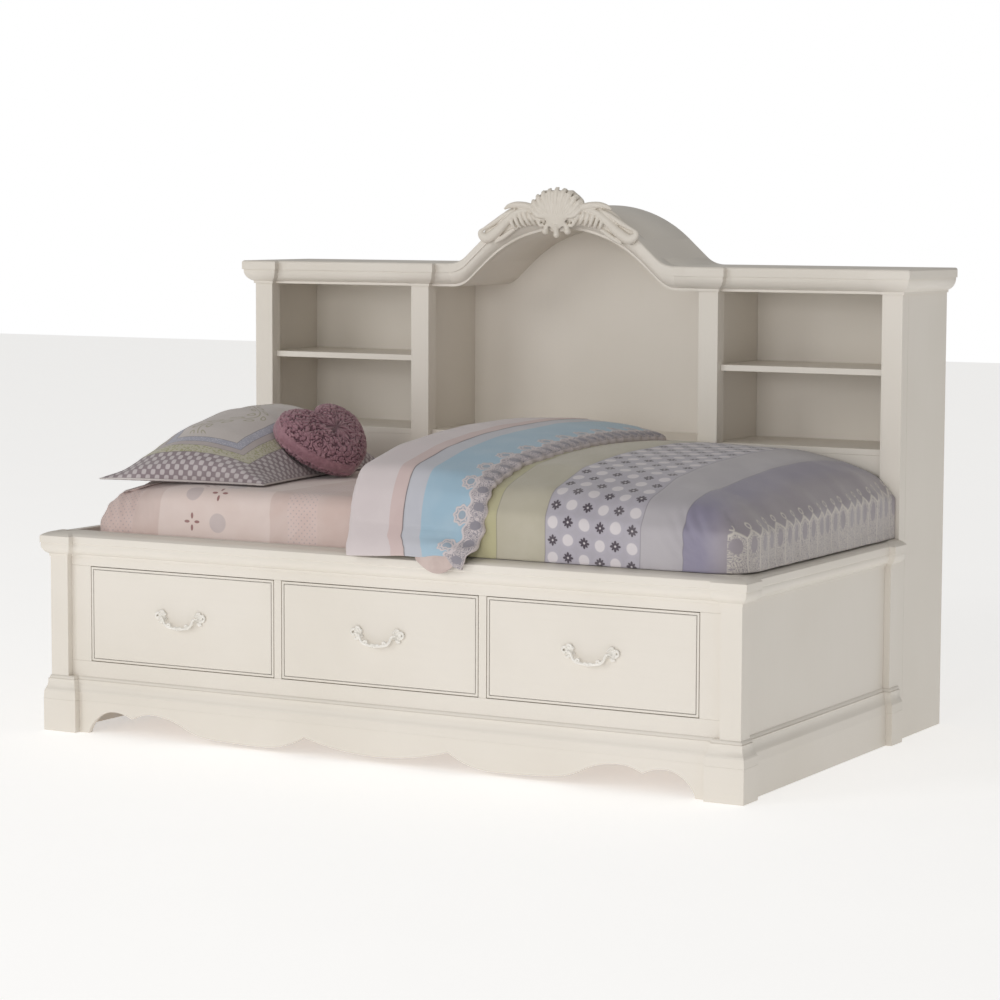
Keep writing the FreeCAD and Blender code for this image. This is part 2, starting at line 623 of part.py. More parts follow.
def base_plan(out, x_inner_end):
    """Outline of the base in plan, from the left back corner round to the right one.

    It runs round the stiles, the end panels and the posts, and lies out beyond their faces;
    x_inner_end is where the post, or its wider block, ends on the front.
    """
    right = [
        (x_inner_end - out, y_frame - out),
        (x_inner_end - out, y_post - out),
        (x_post + out, y_post - out),
        (x_post + out, y_post + post_return + out),
        (x_panel + out, y_post + post_return + out),
        (x_panel + out, y_case - back_stile_width - out),
        (x_post + out, y_case - back_stile_width - out),
        (x_post + out, y_case),
    ]
    return flipped(right) + right


def moulding(name, section, plan, z):
    """A moulding run along a plan; its section is (out, up) from the first point of the plan."""
    x_start, y_start = plan[0]
    body = new_body(name, x_start, y_start, z)
    turned = [(-size(corner[0]), *corner[1:]) for corner in section]
    profile = outline(body, f"{name}_section", "XZ_Plane", turned)
    path = outline(body, f"{name}_plan", "XY_Plane", [(x - x_start, y - y_start) for x, y in plan], False)
    pipe(body, profile, path)
    return body


def mitred(name, ring):
    """A ring round the base, parted at the mitres of its front corners."""
    wedge = doc.addObject("Part::Wedge", f"{name}_mitre")
    low, high = y_post - cap_width, y_post + cap_width
    wide, narrow = x_post + cap_width, x_post - cap_width
    limits = {
        "Xmin": -wide, "Xmax": wide, "X2min": -narrow, "X2max": narrow, "Ymin": low, "Ymax": high,
        "Zmin": size(0), "Z2min": size(0), "Zmax": crown_top, "Z2max": crown_top,
    }
    for limit, where in limits.items():
        wedge.setExpression(limit, where.text)
    keep(common(f"front_{name}", ring, wedge), f"front_{name}")
    keep(cut(f"end_{name}s", ring, wedge), f"end_{name}s")


def make_frame():
    pair("front_posts", board("post", (x_frame, x_post), (y_post, y_post + post_return), (0, case_height)))
    stile_y = (y_case - back_stile_width, y_case)
    pair("end_back_stiles", board("back_stile", (x_inside, x_post), stile_y, (0, case_height)))
    panel_y = (y_post + post_return, y_case - back_stile_width)
    panel = board("right_panel", (x_inside, x_panel), panel_y, (0, case_height))
    keep(panel, "right_end_panel")
    keep(mirrored("left_panel", panel), "left_end_panel")
    frame_y = (y_frame, y_frame_back)
    keep(board("top_rail", (-x_frame, x_frame), frame_y, (drawer_top, case_height)), "face_frame_top_rail")
    low = (rail_low, drawer_bottom)
    keep(board("bottom_rail", (-x_frame, x_frame), frame_y, low), "face_frame_bottom_rail")
    upright = (drawer_bottom, drawer_top)
    outer = board("outer_stile", (x_openings, x_frame), frame_y, upright)
    divider_x = (drawer_opening / 2, drawer_opening / 2 + divider_width)
    divider = board("divider", divider_x, frame_y, upright)
    left = [mirrored(f"{stile.Name}_left", stile) for stile in (outer, divider)]
    keep(group("stiles", [outer, divider, *left]), "face_frame_stiles")


def make_plinth():
    outer = base_plan(plinth_reach, x_block)[8:]
    inner = base_plan(size(0), x_frame)[8:]
    back_face = (x_apron, y_frame)
    body = new_body("end_plinth")
    ring = [back_face, *outer[1:], *reversed(inner)]
    pad(body, outline(body, "end_plinth_plan", "XY_Plane", ring), plinth_height)
    block_z = (0, plinth_height + base_mould_height)
    block = board("corner_block", (x_block, x_frame), (y_post, y_frame), block_z)
    pair("end_plinths", fuse("end_plinth_block", [body, block]))

    x_rise = x_apron - apron_rise_in
    side_lobe = level_arc(x_rise - apron_lobe_x, apron_rise - apron_lobe)
    half = [
        (0, apron_middle, level_arc(apron_cusp_x, apron_cusp - apron_middle), -1),
        (apron_cusp_x, apron_cusp, level_arc(apron_lobe_x - apron_cusp_x, apron_cusp - apron_lobe), -1),
        (apron_lobe_x, apron_lobe, side_lobe, -1),
        (x_rise, apron_rise),
    ]
    low = mirrored_run(half)
    top = [(x_rise, plinth_height), (-x_rise, plinth_height)]
    middle = shaped_board("apron_middle_board", low + top, y_frame, plinth_reach)
    hump_in = level_arc(apron_turn_in - apron_hump_in, apron_hump - apron_turn)
    hump_out = level_arc(apron_hump_in - apron_tooth_in, apron_hump - apron_tooth)
    arch_in = level_arc(apron_tooth_in - apron_arch_in, apron_arch - apron_tooth)
    end = [
        (x_rise, apron_rise, apron_turn_radius, -1),
        (x_apron - apron_turn_in, apron_turn, hump_in, 1),
        (x_apron - apron_hump_in, apron_hump, hump_out, 1),
        (x_apron - apron_tooth_in, apron_tooth, arch_in, 1),
        (x_apron - apron_arch_in, apron_arch, level_arc(apron_arch_in - apron_foot_in, apron_arch), 1),
        (x_apron - apron_foot_in, 0),
        (x_apron, 0),
        (x_apron, plinth_height),
        (x_rise, plinth_height),
    ]
    right = shaped_board("apron_end_board", end, y_frame, plinth_reach)
    keep(group("apron", [middle, right, mirrored("apron_left", right)]), "front_apron")


def make_base_moulding():
    cove_foot = base_band_height + base_step_height
    cove_head = cove_foot + base_cove_height
    section = [
        (0, 0),
        (plinth_reach, 0),
        (base_band_reach, base_band_height),
        (base_step_reach, cove_foot, base_cove_radius, -1),
        (base_cove_reach, cove_head),
        (base_bead_reach, cove_head, base_bead_height, 1),
        (0, base_mould_height),
    ]
    ring = moulding("base_mould_ring", section, base_plan(size(0), x_block), plinth_height)
    mitred("base_moulding", ring)


def make_cap():
    foot = cap_bead_height + cap_ovolo_height
    inner = cap_reach - cap_round
    round_top = foot + cap_thick - cap_quirk
    round_rise = cap_thick - cap_quirk - cap_edge
    section = [
        (0, 0),
        (cap_bead_reach, 0),
        (cap_bead_reach, cap_bead_height, cap_ovolo_radius, 1),
        (cap_ovolo_reach, foot),
        (cap_reach, foot),
        (cap_reach, foot + cap_edge, level_arc(cap_round, round_rise), 1),
        (inner, round_top),
        (inner, foot),
        (0, foot),
    ]
    ring = moulding("cap_edge_ring", section, base_plan(size(0), x_frame), case_height - foot)
    plate = new_body("cap_plate", 0, 0, case_height)
    well = [(x_well, y_case), (x_well, y_well), (-x_well, y_well), (-x_well, y_case)]
    plan = base_plan(inner, x_frame) + well
    pad(plate, outline(plate, "cap_plate_plan", "XY_Plane", plan), cap_thick)
    mitred("cap_moulding", fuse("cap_ring", [ring, plate]))


def make_mattress_support():
    slat_low = slat_top - slat_thick
    ledger_z = (slat_low - ledger_height, slat_low)
    front_y = (y_frame_back, y_frame_back + ledger_width)
    front = board("front_ledger", (-x_frame, x_frame), front_y, ledger_z)
    back = board("back_ledger", (-x_inside, x_inside), (y_case - ledger_width, y_case), ledger_z)
    bored = cut("back_ledger_bored", back, bolt_holes("ledger_holes"))
    keep(group("ledgers", [front, bored]), "slat_ledgers")
    slats = []
    first = -x_inside + slat_margin
    pitch = ((x_inside - slat_margin) * 2 - slat_width) / (slat_count - 1)
    for index in range(slat_count):
        left = first + pitch * index
        across = (left, left + slat_width)
        slats.append(board(f"slat_{index + 1}", across, (y_frame_back, y_case), (slat_low, slat_top)))
    keep(group("slats", slats), "mattress_slats")
    tall = (rail_low, slat_low - ledger_height)
    depth = (y_frame_back, y_case)
    outer = board("outer_partition", (x_openings, x_openings + partition_thick), depth, tall)
    inner = board("inner_partition", (drawer_opening / 2, drawer_opening / 2 + divider_width), depth, tall)
    left = [mirrored(f"{piece.Name}_left", piece) for piece in (outer, inner)]
    keep(group("partitions", [outer, inner, *left]), "drawer_partitions")


def bolt_places():
    """Where the bed bolts pass from the rear ledger into the bookcase stiles."""
    level = slat_top - slat_thick - ledger_height / 2
    inner = (x_bay + x_inner_stile) / 2
    outer = (x_outer_stile + x_inside) / 2
    return [(x, level) for x in (-outer, -inner, inner, outer)]


def bolt_holes(name):
    """The holes of the bed bolts, bored along Y through the ledger and the stiles."""
    start = y_case - ledger_width - bolt_head_thick
    reach = ledger_width + stile_depth + bolt_head_thick * 2
    holes = []
    for index, (x, z) in enumerate(bolt_places()):
        hole = f"{name}_{index + 1}"
        holes.append(rod(hole, bolt_radius + bolt_play, reach, x, start, z, Vector(0, 1, 0)))
    return fuse(name, holes)


def make_bolts():
    bolts = []
    along = Vector(0, 1, 0)
    ledger_face = y_case - ledger_width
    for index, (x, z) in enumerate(bolt_places()):
        name = f"bolt_{index + 1}"
        head_face = ledger_face - bolt_head_thick
        head = rod(f"{name}_head", bolt_head_radius, bolt_head_thick, x, head_face, z, along)
        shank = rod(f"{name}_shank", bolt_radius, ledger_width + stile_depth, x, ledger_face, z, along)
        nut = rod(f"{name}_nut", bolt_head_radius, bolt_head_thick, x, y_stile_back, z, along)
        bolts.append(fuse(name, [head, shank, nut]))
    keep(group("bolts", bolts), "bed_bolts")


# --- Bookcase -----------------------------------------------------------------------------


def notched(name, x_low, x_high, x_stile_low, x_stile_high, y_front, y_shoulder, z):
    """A shelf between two sides whose front passes between the stiles."""
    body = new_body(name, 0, 0, z - shelf_thick)
    corners = [
        (x_low, y_lining), (x_low, y_shoulder), (x_stile_low, y_shoulder), (x_stile_low, y_front),
        (x_stile_high, y_front), (x_stile_high, y_shoulder), (x_high, y_shoulder), (x_high, y_lining),
    ]
    pad(body, outline(body, f"{name}_plan", "XY_Plane", corners), shelf_thick)
    return body


def make_case():
    holes = bolt_holes("stile_holes")
    depth = (y_case, y_stile_back)
    outer = board("case_stile_outer", (x_outer_stile, x_case), depth, (0, pier_height))
    inner = board("case_stile_inner", (x_niche, x_inner_stile), depth, (0, pier_height))
    left = [mirrored(f"{stile.Name}_left", stile) for stile in (outer, inner)]
    bored = [cut(f"{stile.Name}_bored", stile, holes) for stile in (outer, inner, *left)]
    keep(group("case_stiles", bored), "bookcase_stiles")

    side = board("outer_side", (x_lining, x_case), (y_stile_back, y_back), (0, pier_height))
    keep(side, "bookcase_right_outer_side")
    keep(mirrored("outer_side_left", side), "bookcase_left_outer_side")
    tall = crown_top - top_thick
    side = board("inner_side", (x_inner_side, x_bay), (y_stile_back, y_back), (0, tall))
    keep(side, "bookcase_right_inner_side")
    keep(mirrored("inner_side_left", side), "bookcase_left_inner_side")

    front = y_recess + shelf_set_back
    bay = (x_bay, x_lining, x_inner_stile, x_outer_stile)
    fixed = notched("lower_shelf", *bay, front, y_stile_back, shelf_level)
    pair("pier_lower_shelves", fixed)
    tongue = (x_inner_stile + shelf_play, x_outer_stile - shelf_play)
    loose_bay = (x_bay + shelf_play, x_lining - shelf_play, *tongue)
    loose = notched("loose_shelf", *loose_bay, front, y_stile_back + shelf_play, loose_level)
    pair("adjustable_shelves", loose)
    niche = (-x_inner_side, x_inner_side, -x_niche, x_niche)
    ledge = notched("ledge", *niche, front, y_stile_back, shelf_level)
    keep(ledge, "niche_ledge")

    pins = []
    pin_z = loose_level - shelf_thick - pin_radius
    for index, y in enumerate((y_stile_back + pin_inset, y_lining - pin_inset)):
        pins.append(rod(f"pin_{index + 1}", pin_radius, pin_reach, x_bay, y, pin_z, Vector(1, 0, 0)))
        pins.append(rod(f"pin_{index + 3}", pin_radius, pin_reach, x_lining, y, pin_z, Vector(-1, 0, 0)))
    right = group("pins_right", pins)
    keep(group("pins", [right, mirrored("pins_left", right)]), "shelf_pins")

    low = (0, shelf_level - shelf_thick)
    depth = (front, front + lower_board_thick)
    boards = [board("low_middle", (-x_niche, x_niche), depth, low)]
    boards.append(board("low_right", (x_inner_stile, x_outer_stile), depth, low))
    boards.append(mirrored("low_left", boards[-1]))
    keep(group("low_boards", boards), "lower_front_panel")

    back = (y_lining, y_lining + back_thick)
    pair("pier_back_panels", board("pier_back", (x_bay, x_lining), back, (0, tall)))
    frame_end = y_recess + side_thick
    ceiling_z = (pier_height, pier_height + ceiling_thick)
    pair("pier_ceilings", board("ceiling", (x_bay, x_lining), (frame_end, y_lining), ceiling_z))
    top = new_body("pier_top", 0, 0, tall)
    stile_end = y_case + side_thick
    corners = [
        (x_inner_side, y_back), (x_inner_side, stile_end), (x_bay, stile_end), (x_bay, frame_end),
        (x_outer_stile + side_thick, frame_end), (x_outer_stile + side_thick, stile_end),
        (x_lining, stile_end), (x_lining, y_back),
    ]
    pad(top, outline(top, "pier_top_plan", "XY_Plane", corners), top_thick)
    pair("pier_tops", top)


# --- Crown and arch -----------------------------------------------------------------------


def crown_section():
    """The crown as (out, up) from the plane of the stiles and the underside of the crown."""
    ovolo_top = crown_bead_height + crown_ovolo_height
    return [
        (-side_thick, 0),
        (crown_bead_reach, 0),
        (crown_bead_reach, crown_bead_height, crown_ovolo_radius, 1),
        (crown_ovolo_reach, ovolo_top),
        (crown_reach, ovolo_top),
        (crown_reach, ovolo_top + crown_fascia, crown_round, 1),
        (crown_reach - crown_round, crown_height),
        (-side_thick, crown_height),
    ]


def arch_half(drop):
    """The arch from its top out to its right foot, as (across, up), its arcs with it."""
    slope_out = sine(arch_angle)
    slope_drop = -(cosine(arch_angle) - 1)
    top_x = arch_radius * slope_out
    top_z = arch_rise - arch_radius * slope_drop
    foot_z = arch_foot * slope_drop
    foot_x = top_x + (top_z - foot_z) * cosine(arch_angle) / slope_out
    x_end = foot_x + arch_foot * slope_out
    return [
        (0, arch_rise - drop, arch_radius, 1),
        (top_x, top_z - drop),
        (foot_x, foot_z - drop, arch_foot, -1),
        (x_end, -size(drop)),
    ]


def vault(name, level, y_front, y_rear):
    """A thin board bent over the niche, its top at a level on the arch's line."""
    upper = mirrored_run(arch_half(0))
    lower = mirrored_run(arch_half(skin_thick))
    flat_right = [(x_inner_side, 0), (x_inner_side, -skin_thick)]
    flat_left = [(-x_inner_side, -skin_thick), (-x_inner_side, 0)]
    under = []
    for index in range(len(lower) - 1, 0, -1):
        arc = lower[index - 1][2:]
        turned = (arc[0], -arc[1]) if arc else ()
        under.append((*lower[index][:2], *turned))
    under.append(lower[0][:2])
    body = new_body(name, 0, y_rear, level)
    edge = outline(body, f"{name}_outline", "XZ_Plane", upper + flat_right + under + flat_left)
    pad(body, edge, y_rear - y_front)
    return body


def make_crown():
    x_end = arch_half(0)[-1][0]
    plan = [
        (x_case, y_back), (x_case, y_case), (x_outer_stile, y_case), (x_outer_stile, y_recess),
        (x_inner_stile, y_recess), (x_inner_stile, y_case), (x_niche, y_case), (x_niche, y_recess),
        (x_end, y_recess),
    ]
    left = [(-x, y) for x, y in plan]
    pair("pier_crown_mouldings", moulding("pier_crown", crown_section(), left, pier_height))

    arch = new_body("arch_crown", -x_end, y_recess, pier_height)
    turned = [(-size(corner[0]), *corner[1:]) for corner in crown_section()]
    section = outline(arch, "arch_section", "YZ_Plane", turned)
    shifted = [(size(corner[0]) + x_end, *corner[1:]) for corner in mirrored_run(arch_half(0))]
    path = outline(arch, "arch_line", "XZ_Plane", shifted, False)
    pipe(arch, section, path, "Fixed")
    keep(arch, "arch_crown_moulding")

    y_front = y_recess + side_thick
    keep(vault("roof", crown_top, y_front, y_back), "vault_roof")
    keep(vault("soffit", pier_height + skin_thick, y_front, y_lining), "vault_soffit")

    rise = mirrored_run(arch_half(0))
    body = new_body("niche_back", 0, y_lining + back_thick, crown_top - skin_thick)
    floor = -(crown_top - skin_thick)
    corners = rise + [(x_inner_side, 0), (x_inner_side, floor), (-x_inner_side, floor), (-x_inner_side, 0)]
    pad(body, outline(body, "niche_back_outline", "XZ_Plane", corners), back_thick)
    keep(body, "niche_back_panel")


# --- Drawers ------------------------------------------------------------------------------


def channel(name, x_web, side, reach, height):
    """A runner member along Y: a channel with its web at a plane, its flanges to one side."""
    half = height / 2
    corners = [
        (0, -half), (reach, -half), (reach, -half + runner_wall), (runner_wall, -half + runner_wall),
        (runner_wall, half - runner_wall), (reach, half - runner_wall), (reach, half), (0, half),
    ]
    body = new_body(name, x_web, y_frame_back + runner_length, runner_level)
    handed = [(size(across) * side, up) for across, up in corners]
    pad(body, outline(body, f"{name}_section", "XZ_Plane", handed), runner_length)
    return body


def runner_members(name, x_middle, role):
    """The two members of one kind beside a drawer."""
    nested = runner_wall + runner_play
    pieces = []
    for side, hand in ((1, "right"), (-1, "left")):
        edge = x_middle + drawer_opening / 2 * side
        label = f"{name}_{hand}"
        if role == "outer":
            pieces.append(channel(label, edge, -side, runner_reach, runner_height))
        elif role == "middle":
            web = edge - nested * side
            pieces.append(channel(label, web, -side, runner_reach, runner_height - nested * 2))
        else:
            web = edge - runner_space * side
            pieces.append(channel(label, web, side, runner_space - nested * 2, runner_height - nested * 4))
    return pieces


def make_drawer_front(name, x_middle):
    def field(label, inset, depth):
        half = drawer_opening / 2 - drawer_gap - inset
        up = (drawer_bottom + drawer_gap + inset, drawer_top - drawer_gap - inset)
        return board(label, (x_middle - half, x_middle + half), (y_frame, y_frame + depth), up)

    panel = field(f"{name}_panel", 0, front_thick)
    outer = field(f"{name}_groove_outer", bead_width, groove_depth)
    inner = field(f"{name}_groove_inner", bead_width + groove_width, groove_depth)
    keep(cut(f"{name}_grooved", panel, cut(f"{name}_groove", outer, inner)), f"{name}_front")


def make_drawer_box(name, x_middle):
    half = drawer_opening / 2 - runner_space
    inner = half - box_thick
    front = y_frame + front_thick
    rear = front + box_depth
    low = drawer_bottom + box_lift
    tall = (low, low + box_height)
    across = (x_middle - inner, x_middle + inner)
    right = board(f"{name}_side_right", (x_middle + inner, x_middle + half), (front, rear), tall)
    left = board(f"{name}_side_left", (x_middle - half, x_middle - inner), (front, rear), tall)
    near = board(f"{name}_near", across, (front, front + box_thick), tall)
    far = board(f"{name}_far", across, (rear - box_thick, rear), tall)
    floor_z = (low + floor_lift, low + floor_lift + floor_thick)
    floor = board(f"{name}_floor", across, (front + box_thick, rear - box_thick), floor_z)
    keep(group(f"{name}_boards", [right, left, near, far, floor]), f"{name}_box")


def make_pull(name, x_middle):
    """Two backplates with their posts, and the bail that swings between them."""
    outward = Vector(0, -1, 0)
    pivot = (y_frame - pull_stand, pull_level)
    bore = pivot_radius + pivot_play
    plates = []
    for side, hand in ((1, "right"), (-1, "left")):
        x = x_middle + pull_spacing / 2 * side
        plate = rod(f"{name}_plate_{hand}", plate_radius, plate_thick, x, y_frame, pull_level, outward)
        ear = rod(f"{name}_ear_{hand}", ear_radius, ear_reach, x, y_frame, pull_level, outward)
        start = x - ear_radius * 2
        hole = rod(f"{name}_hole_{hand}", bore, ear_radius * 4, start, *pivot, Vector(1, 0, 0))
        plates.append(cut(f"{name}_post_{hand}", fuse(f"{name}_plate_ear_{hand}", [plate, ear]), hole))
    keep(group(f"{name}_plates", plates), f"{name}_pull_plates")

    end = pull_spacing / 2 - ear_radius - bail_clear
    arm = end - bail_turn
    drop = bail_turn + bail_bend
    body = new_body(f"{name}_bail_rod", x_middle, *pivot)
    left = [(-end, 0, bail_turn, 1), (-arm, -bail_turn, bail_bend, -1), (bail_bend - arm, -drop)]
    right = [(arm - bail_bend, -drop, bail_bend, -1), (arm, -bail_turn, bail_turn, 1), (end, 0)]
    line = outline(body, f"{name}_bail_line", "XZ_Plane", left + right, False)
    section = body.newObject("Sketcher::SketchObject", f"{name}_bail_section")
    section.AttachmentSupport = (origin_plane(body, "YZ_Plane"), [""])
    section.MapMode = "FlatFace"
    section.setExpression("AttachmentOffset.Base.z", (-end).text)
    section.addGeometry(Part.Circle(Vector(), Vector(0, 0, 1), bail_radius.value), False)
    section.addConstraint(Sketcher.Constraint("Coincident", 0, 3, -1, 1))
    rule = section.addConstraint(Sketcher.Constraint("Radius", 0, bail_radius.value))
    section.setExpression(f"Constraints[{rule}]", bail_radius.text)
    pipe(body, section, line)
    pins = []
    pin_length = ear_radius * 2 + bail_clear
    for side, hand in ((1, "right"), (-1, "left")):
        x = x_middle + end * side
        pins.append(rod(f"{name}_pin_{hand}", pivot_radius, pin_length, x, *pivot, Vector(side, 0, 0)))
    keep(fuse(f"{name}_bail_whole", [body, *pins]), f"{name}_bail")


def make_drawers():
    outers = []
    for number in range(1, drawer_count + 1):
        name = f"drawer_{number}"
        x_middle = (drawer_opening + divider_width) * (number - (drawer_count + 1) / 2)
        make_drawer_front(name, x_middle)
        make_drawer_box(name, x_middle)
        make_pull(name, x_middle)
        outers += runner_members(f"{name}_outer", x_middle, "outer")
        for role in ("middle", "inner"):
            members = runner_members(f"{name}_{role}", x_middle, role)
            keep(group(f"{name}_{role}_pair", members), f"{name}_{role}_slides")
    keep(group("outer_members", outers), "slide_outer_members")


# --- Carved crest -------------------------------------------------------------------------


def make_crest():
    """The carving in the middle of the arch: a shell over two leaves, and three beads."""
    apex = crown_top + arch_rise
    front = y_recess - crown_reach
    shell = new_body("shell", 0, front, apex)
    crown_arc = level_arc(shell_half, shell_top - shell_side)
    corners = [
        (-shell_half, shell_side, crown_arc, 1),
        (shell_half, shell_side, shell_half, 1),
        (shell_foot_half, -shell_foot),
        (-shell_foot_half, -shell_foot, shell_half, 1),
    ]
    pad(shell, outline(shell, "shell_outline", "XZ_Plane", corners), shell_relief)

    leaf = new_body("leaf", 0, front, apex)
    corners = [
        (shell_foot_half, -shell_foot),
        (shell_half, shell_side),
        (leaf_tip_x, -leaf_tip, arch_radius / 2, 1),
        (leaf_scroll_x, leaf_scroll_radius - leaf_scroll),
        (leaf_scroll_x, -leaf_scroll_radius - leaf_scroll, arch_radius / 2, -1),
        (leaf_belly_x, -leaf_belly),
    ]
    pad(leaf, outline(leaf, "leaf_outline", "XZ_Plane", corners), leaf_relief)
    outward = Vector(0, -1, 0)
    scroll_z = apex - leaf_scroll
    scroll = rod("scroll", leaf_scroll_radius, leaf_relief, leaf_scroll_x, front, scroll_z, outward)
    wing = fuse("leaf_scrolled", [leaf, scroll])
    solids = [shell, wing, mirrored("leaf_scrolled_left", wing)]
    for index, place_x in enumerate((-drop_spacing, size(0), drop_spacing)):
        lift = drop_lift if index != 1 else size(0)
        level = apex - drop_level + lift
        bead = rod(f"drop_{index + 1}", drop_radius, leaf_relief, place_x, front, level, outward)
        neck_x = (place_x - drop_radius / 2, place_x + drop_radius / 2)
        neck_z = (level, apex - shell_foot + drop_radius)
        neck = board(f"drop_neck_{index + 1}", neck_x, (front - leaf_relief, front), neck_z)
        solids += [bead, neck]
    keep(fuse("crest", solids), "carved_crest")


# --- Bedding ------------------------------------------------------------------------------


def lofted(name, plane, sections, x=0, y=0, z=0, ruled=True):
    """A soft form through sections, each (distance along the plane's normal, corners)."""
    body = new_body(name, x, y, z)
    sketches = []
    for index, (along, corners) in enumerate(sections):
        sketch = outline(body, f"{name}_section_{index + 1}", plane, corners)
        sketch.setExpression("AttachmentOffset.Base.z", size(along).text)
        sketches.append(sketch)
    feature = body.newObject("PartDesign::AdditiveLoft", f"{name}_loft")
    feature.Profile = sketches[0]
    feature.Sections = sketches[1:]
    feature.Ruled = ruled
    return body


def make_mattress():
    low = slat_top + bedding_gap
    body = new_body("mattress_block", -x_mattress, y_mattress, low)
    across = x_mattress * 2
    corners = [(0, 0), (across, 0), (across, mattress_width), (0, mattress_width)]
    pad(body, outline(body, "mattress_plan", "XY_Plane", corners), mattress_thick - bedding_gap)
    block = doc.addObject("Part::Fillet", "mattress_rounded")
    block.Base = body
    doc.recompute()
    rounded = []
    for index, edge in enumerate(body.Shape.Edges):
        upright = abs(edge.tangentAt(edge.FirstParameter).z) > 0.5
        if upright:
            rounded.append((index + 1, mattress_corner.value, mattress_corner.value))
    block.Edges = rounded
    doc.recompute()
    soft = doc.addObject("Part::Fillet", "mattress_soft")
    soft.Base = block
    rims = []
    for index, edge in enumerate(block.Shape.Edges):
        ends = [vertex.Point.z for vertex in edge.Vertexes]
        if abs(ends[0] - ends[-1]) < 1:
            rims.append((index + 1, mattress_edge.value, mattress_edge.value))
    soft.Edges = rims
    keep(soft, "mattress")


def draped(piece, rows, front, base, lean, grow):
    """Sections of a cover on the mattress: its front, a shoulder in two bends, a crowned top."""
    rear = y_case - bedding_gap
    sections = []
    for along, shoulder, roll, back in rows:
        brow = mattress_top + shoulder
        corners = [
            (front - grow, base - grow),
            (front - grow, base + cover_upright),
            (front + lean - grow, brow, cover_brow_radius + grow, 1),
            (front + lean + cover_brow, brow + cover_brow_rise + grow, cover_shoulder_radius, 1),
            (front + lean + cover_shoulder, mattress_top + roll + grow, cover_top_radius, 1),
            (rear, mattress_top + back + grow),
            (rear, base - grow),
        ]
        sections.append((along, corners))
    return lofted(piece, "YZ_Plane", sections)


def make_covers():
    none = size(0)
    base = cap_top + bedding_gap
    front = y_plinth + duvet_front
    room_x = (-x_mattress - bedding_gap, x_mattress + bedding_gap)
    room_y = (y_mattress - bedding_gap, y_case)
    room = board("mattress_room", room_x, room_y, (slat_top, mattress_top + bedding_gap))
    cover = draped("duvet_full", duvet_stations, front, base, none, none)
    keep(cut("duvet_hollow", cover, room), "duvet")

    grown = draped("duvet_grown", duvet_stations, front, base, none, bedding_gap)
    skirt = y_plinth - fold_reach
    fold = draped("fold_full", fold_stations, skirt, cap_top - fold_hem, fold_lean, none)
    front_edge = y_plinth - cap_overhang - bedding_gap
    ledge = board("cap_room", (-x_post, x_post), (front_edge, y_case), (none, base))
    keep(cut("fold_hollow", fold, fuse("fold_clearance", [grown, room, ledge])), "duvet_foldback")


def heart_outline(scale, grow):
    """The heart's outline at a share of its full size, from its notch and round its right."""
    side_x = heart_half * scale + grow
    lobe = heart_lobe * scale + grow
    level = heart_lobe_level * scale
    inner = side_x - lobe
    notch = level + root(lobe * lobe - inner * inner)
    tip = -heart_tip * scale - grow
    reach = heart_side_radius * scale + grow
    return [(0, notch, lobe, 1), (side_x, level, reach, 1), (0, tip, reach, 1), (-side_x, level, lobe, 1)]


def heart(name, grow):
    """The heart cushion, grown all round where it stands for the room it takes."""
    sections = []
    for step in range(heart_steps + 1):
        lean = heart_sweep * (step * 2 / heart_steps - 1)
        depth = (heart_depth / 2 + grow) * sine(lean)
        sections.append((depth, heart_outline(root(cosine(lean)), grow)))
    middle = (heart_in - x_mattress, y_plinth + heart_y, mattress_top + heart_lift)
    form = lofted(name, "XZ_Plane", sections, *middle)
    roll = Rotation(Vector(0, 1, 0), heart_roll.value)
    back = Rotation(Vector(1, 0, 0), -heart_back.value)
    turn = Rotation(Vector(0, 0, 1), heart_turn.value)
    form.Placement = Placement(form.Placement.Base, turn * back * roll)
    return form


def make_cushions():
    keep(heart("heart_form", size(0)), "heart_cushion")
    sections = []
    for across, left, right, rise in pillow_stations:
        corners = [
            (left, 0),
            (left, pillow_hem, level_arc(pillow_apex_in - left, rise), 1),
            (pillow_apex_in, pillow_hem + rise, level_arc(right - pillow_apex_in, rise), 1),
            (right, pillow_hem),
            (right, 0),
        ]
        sections.append((-(y_plinth + across), corners))
    low = mattress_top + bedding_gap
    form = lofted("pillow_form", "XZ_Plane", sections, -x_mattress, 0, low, ruled=False)
    keep(cut("pillow_dented", form, heart("heart_room", bedding_gap)), "pillow")


# --- Build and export ---------------------------------------------------------------------


def export():
    """Check every object, then write each sub-part as a STEP file."""
    doc.recompute()
    for piece in doc.Objects:
        if {"Invalid", "Error"} & set(piece.State):
            raise RuntimeError(f"{piece.Label} did not build: {piece.State}")
    os.makedirs("parts", exist_ok=True)
    for piece in nodes:
        if piece.Shape.isNull() or not piece.Shape.isValid():
            raise RuntimeError(f"{piece.Label} has no valid shape")
        piece.Shape.exportStep(f"parts/{piece.Label}.step")


make_frame()
make_plinth()
make_base_moulding()
make_cap()
make_mattress_support()
make_bolts()
make_case()
make_crown()
make_crest()
make_drawers()
make_mattress()
make_covers()
make_cushions()
export()
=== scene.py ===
import json
from math import atan2, cos, hypot, pi, radians, sin, sqrt

import bmesh
import bpy
import numpy as np
from mathutils import Matrix, Vector, noise


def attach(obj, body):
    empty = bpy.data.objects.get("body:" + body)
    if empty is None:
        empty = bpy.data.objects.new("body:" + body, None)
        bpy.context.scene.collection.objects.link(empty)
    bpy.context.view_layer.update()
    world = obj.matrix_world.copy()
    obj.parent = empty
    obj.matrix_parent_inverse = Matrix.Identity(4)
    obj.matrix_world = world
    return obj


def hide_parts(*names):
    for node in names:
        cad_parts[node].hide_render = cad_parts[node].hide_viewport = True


# A bookcase bed, made up: the painted furniture keeps its solids, and the carving, the pulls
# and the bedding are modelled here. Metres, in the frame of the solids.

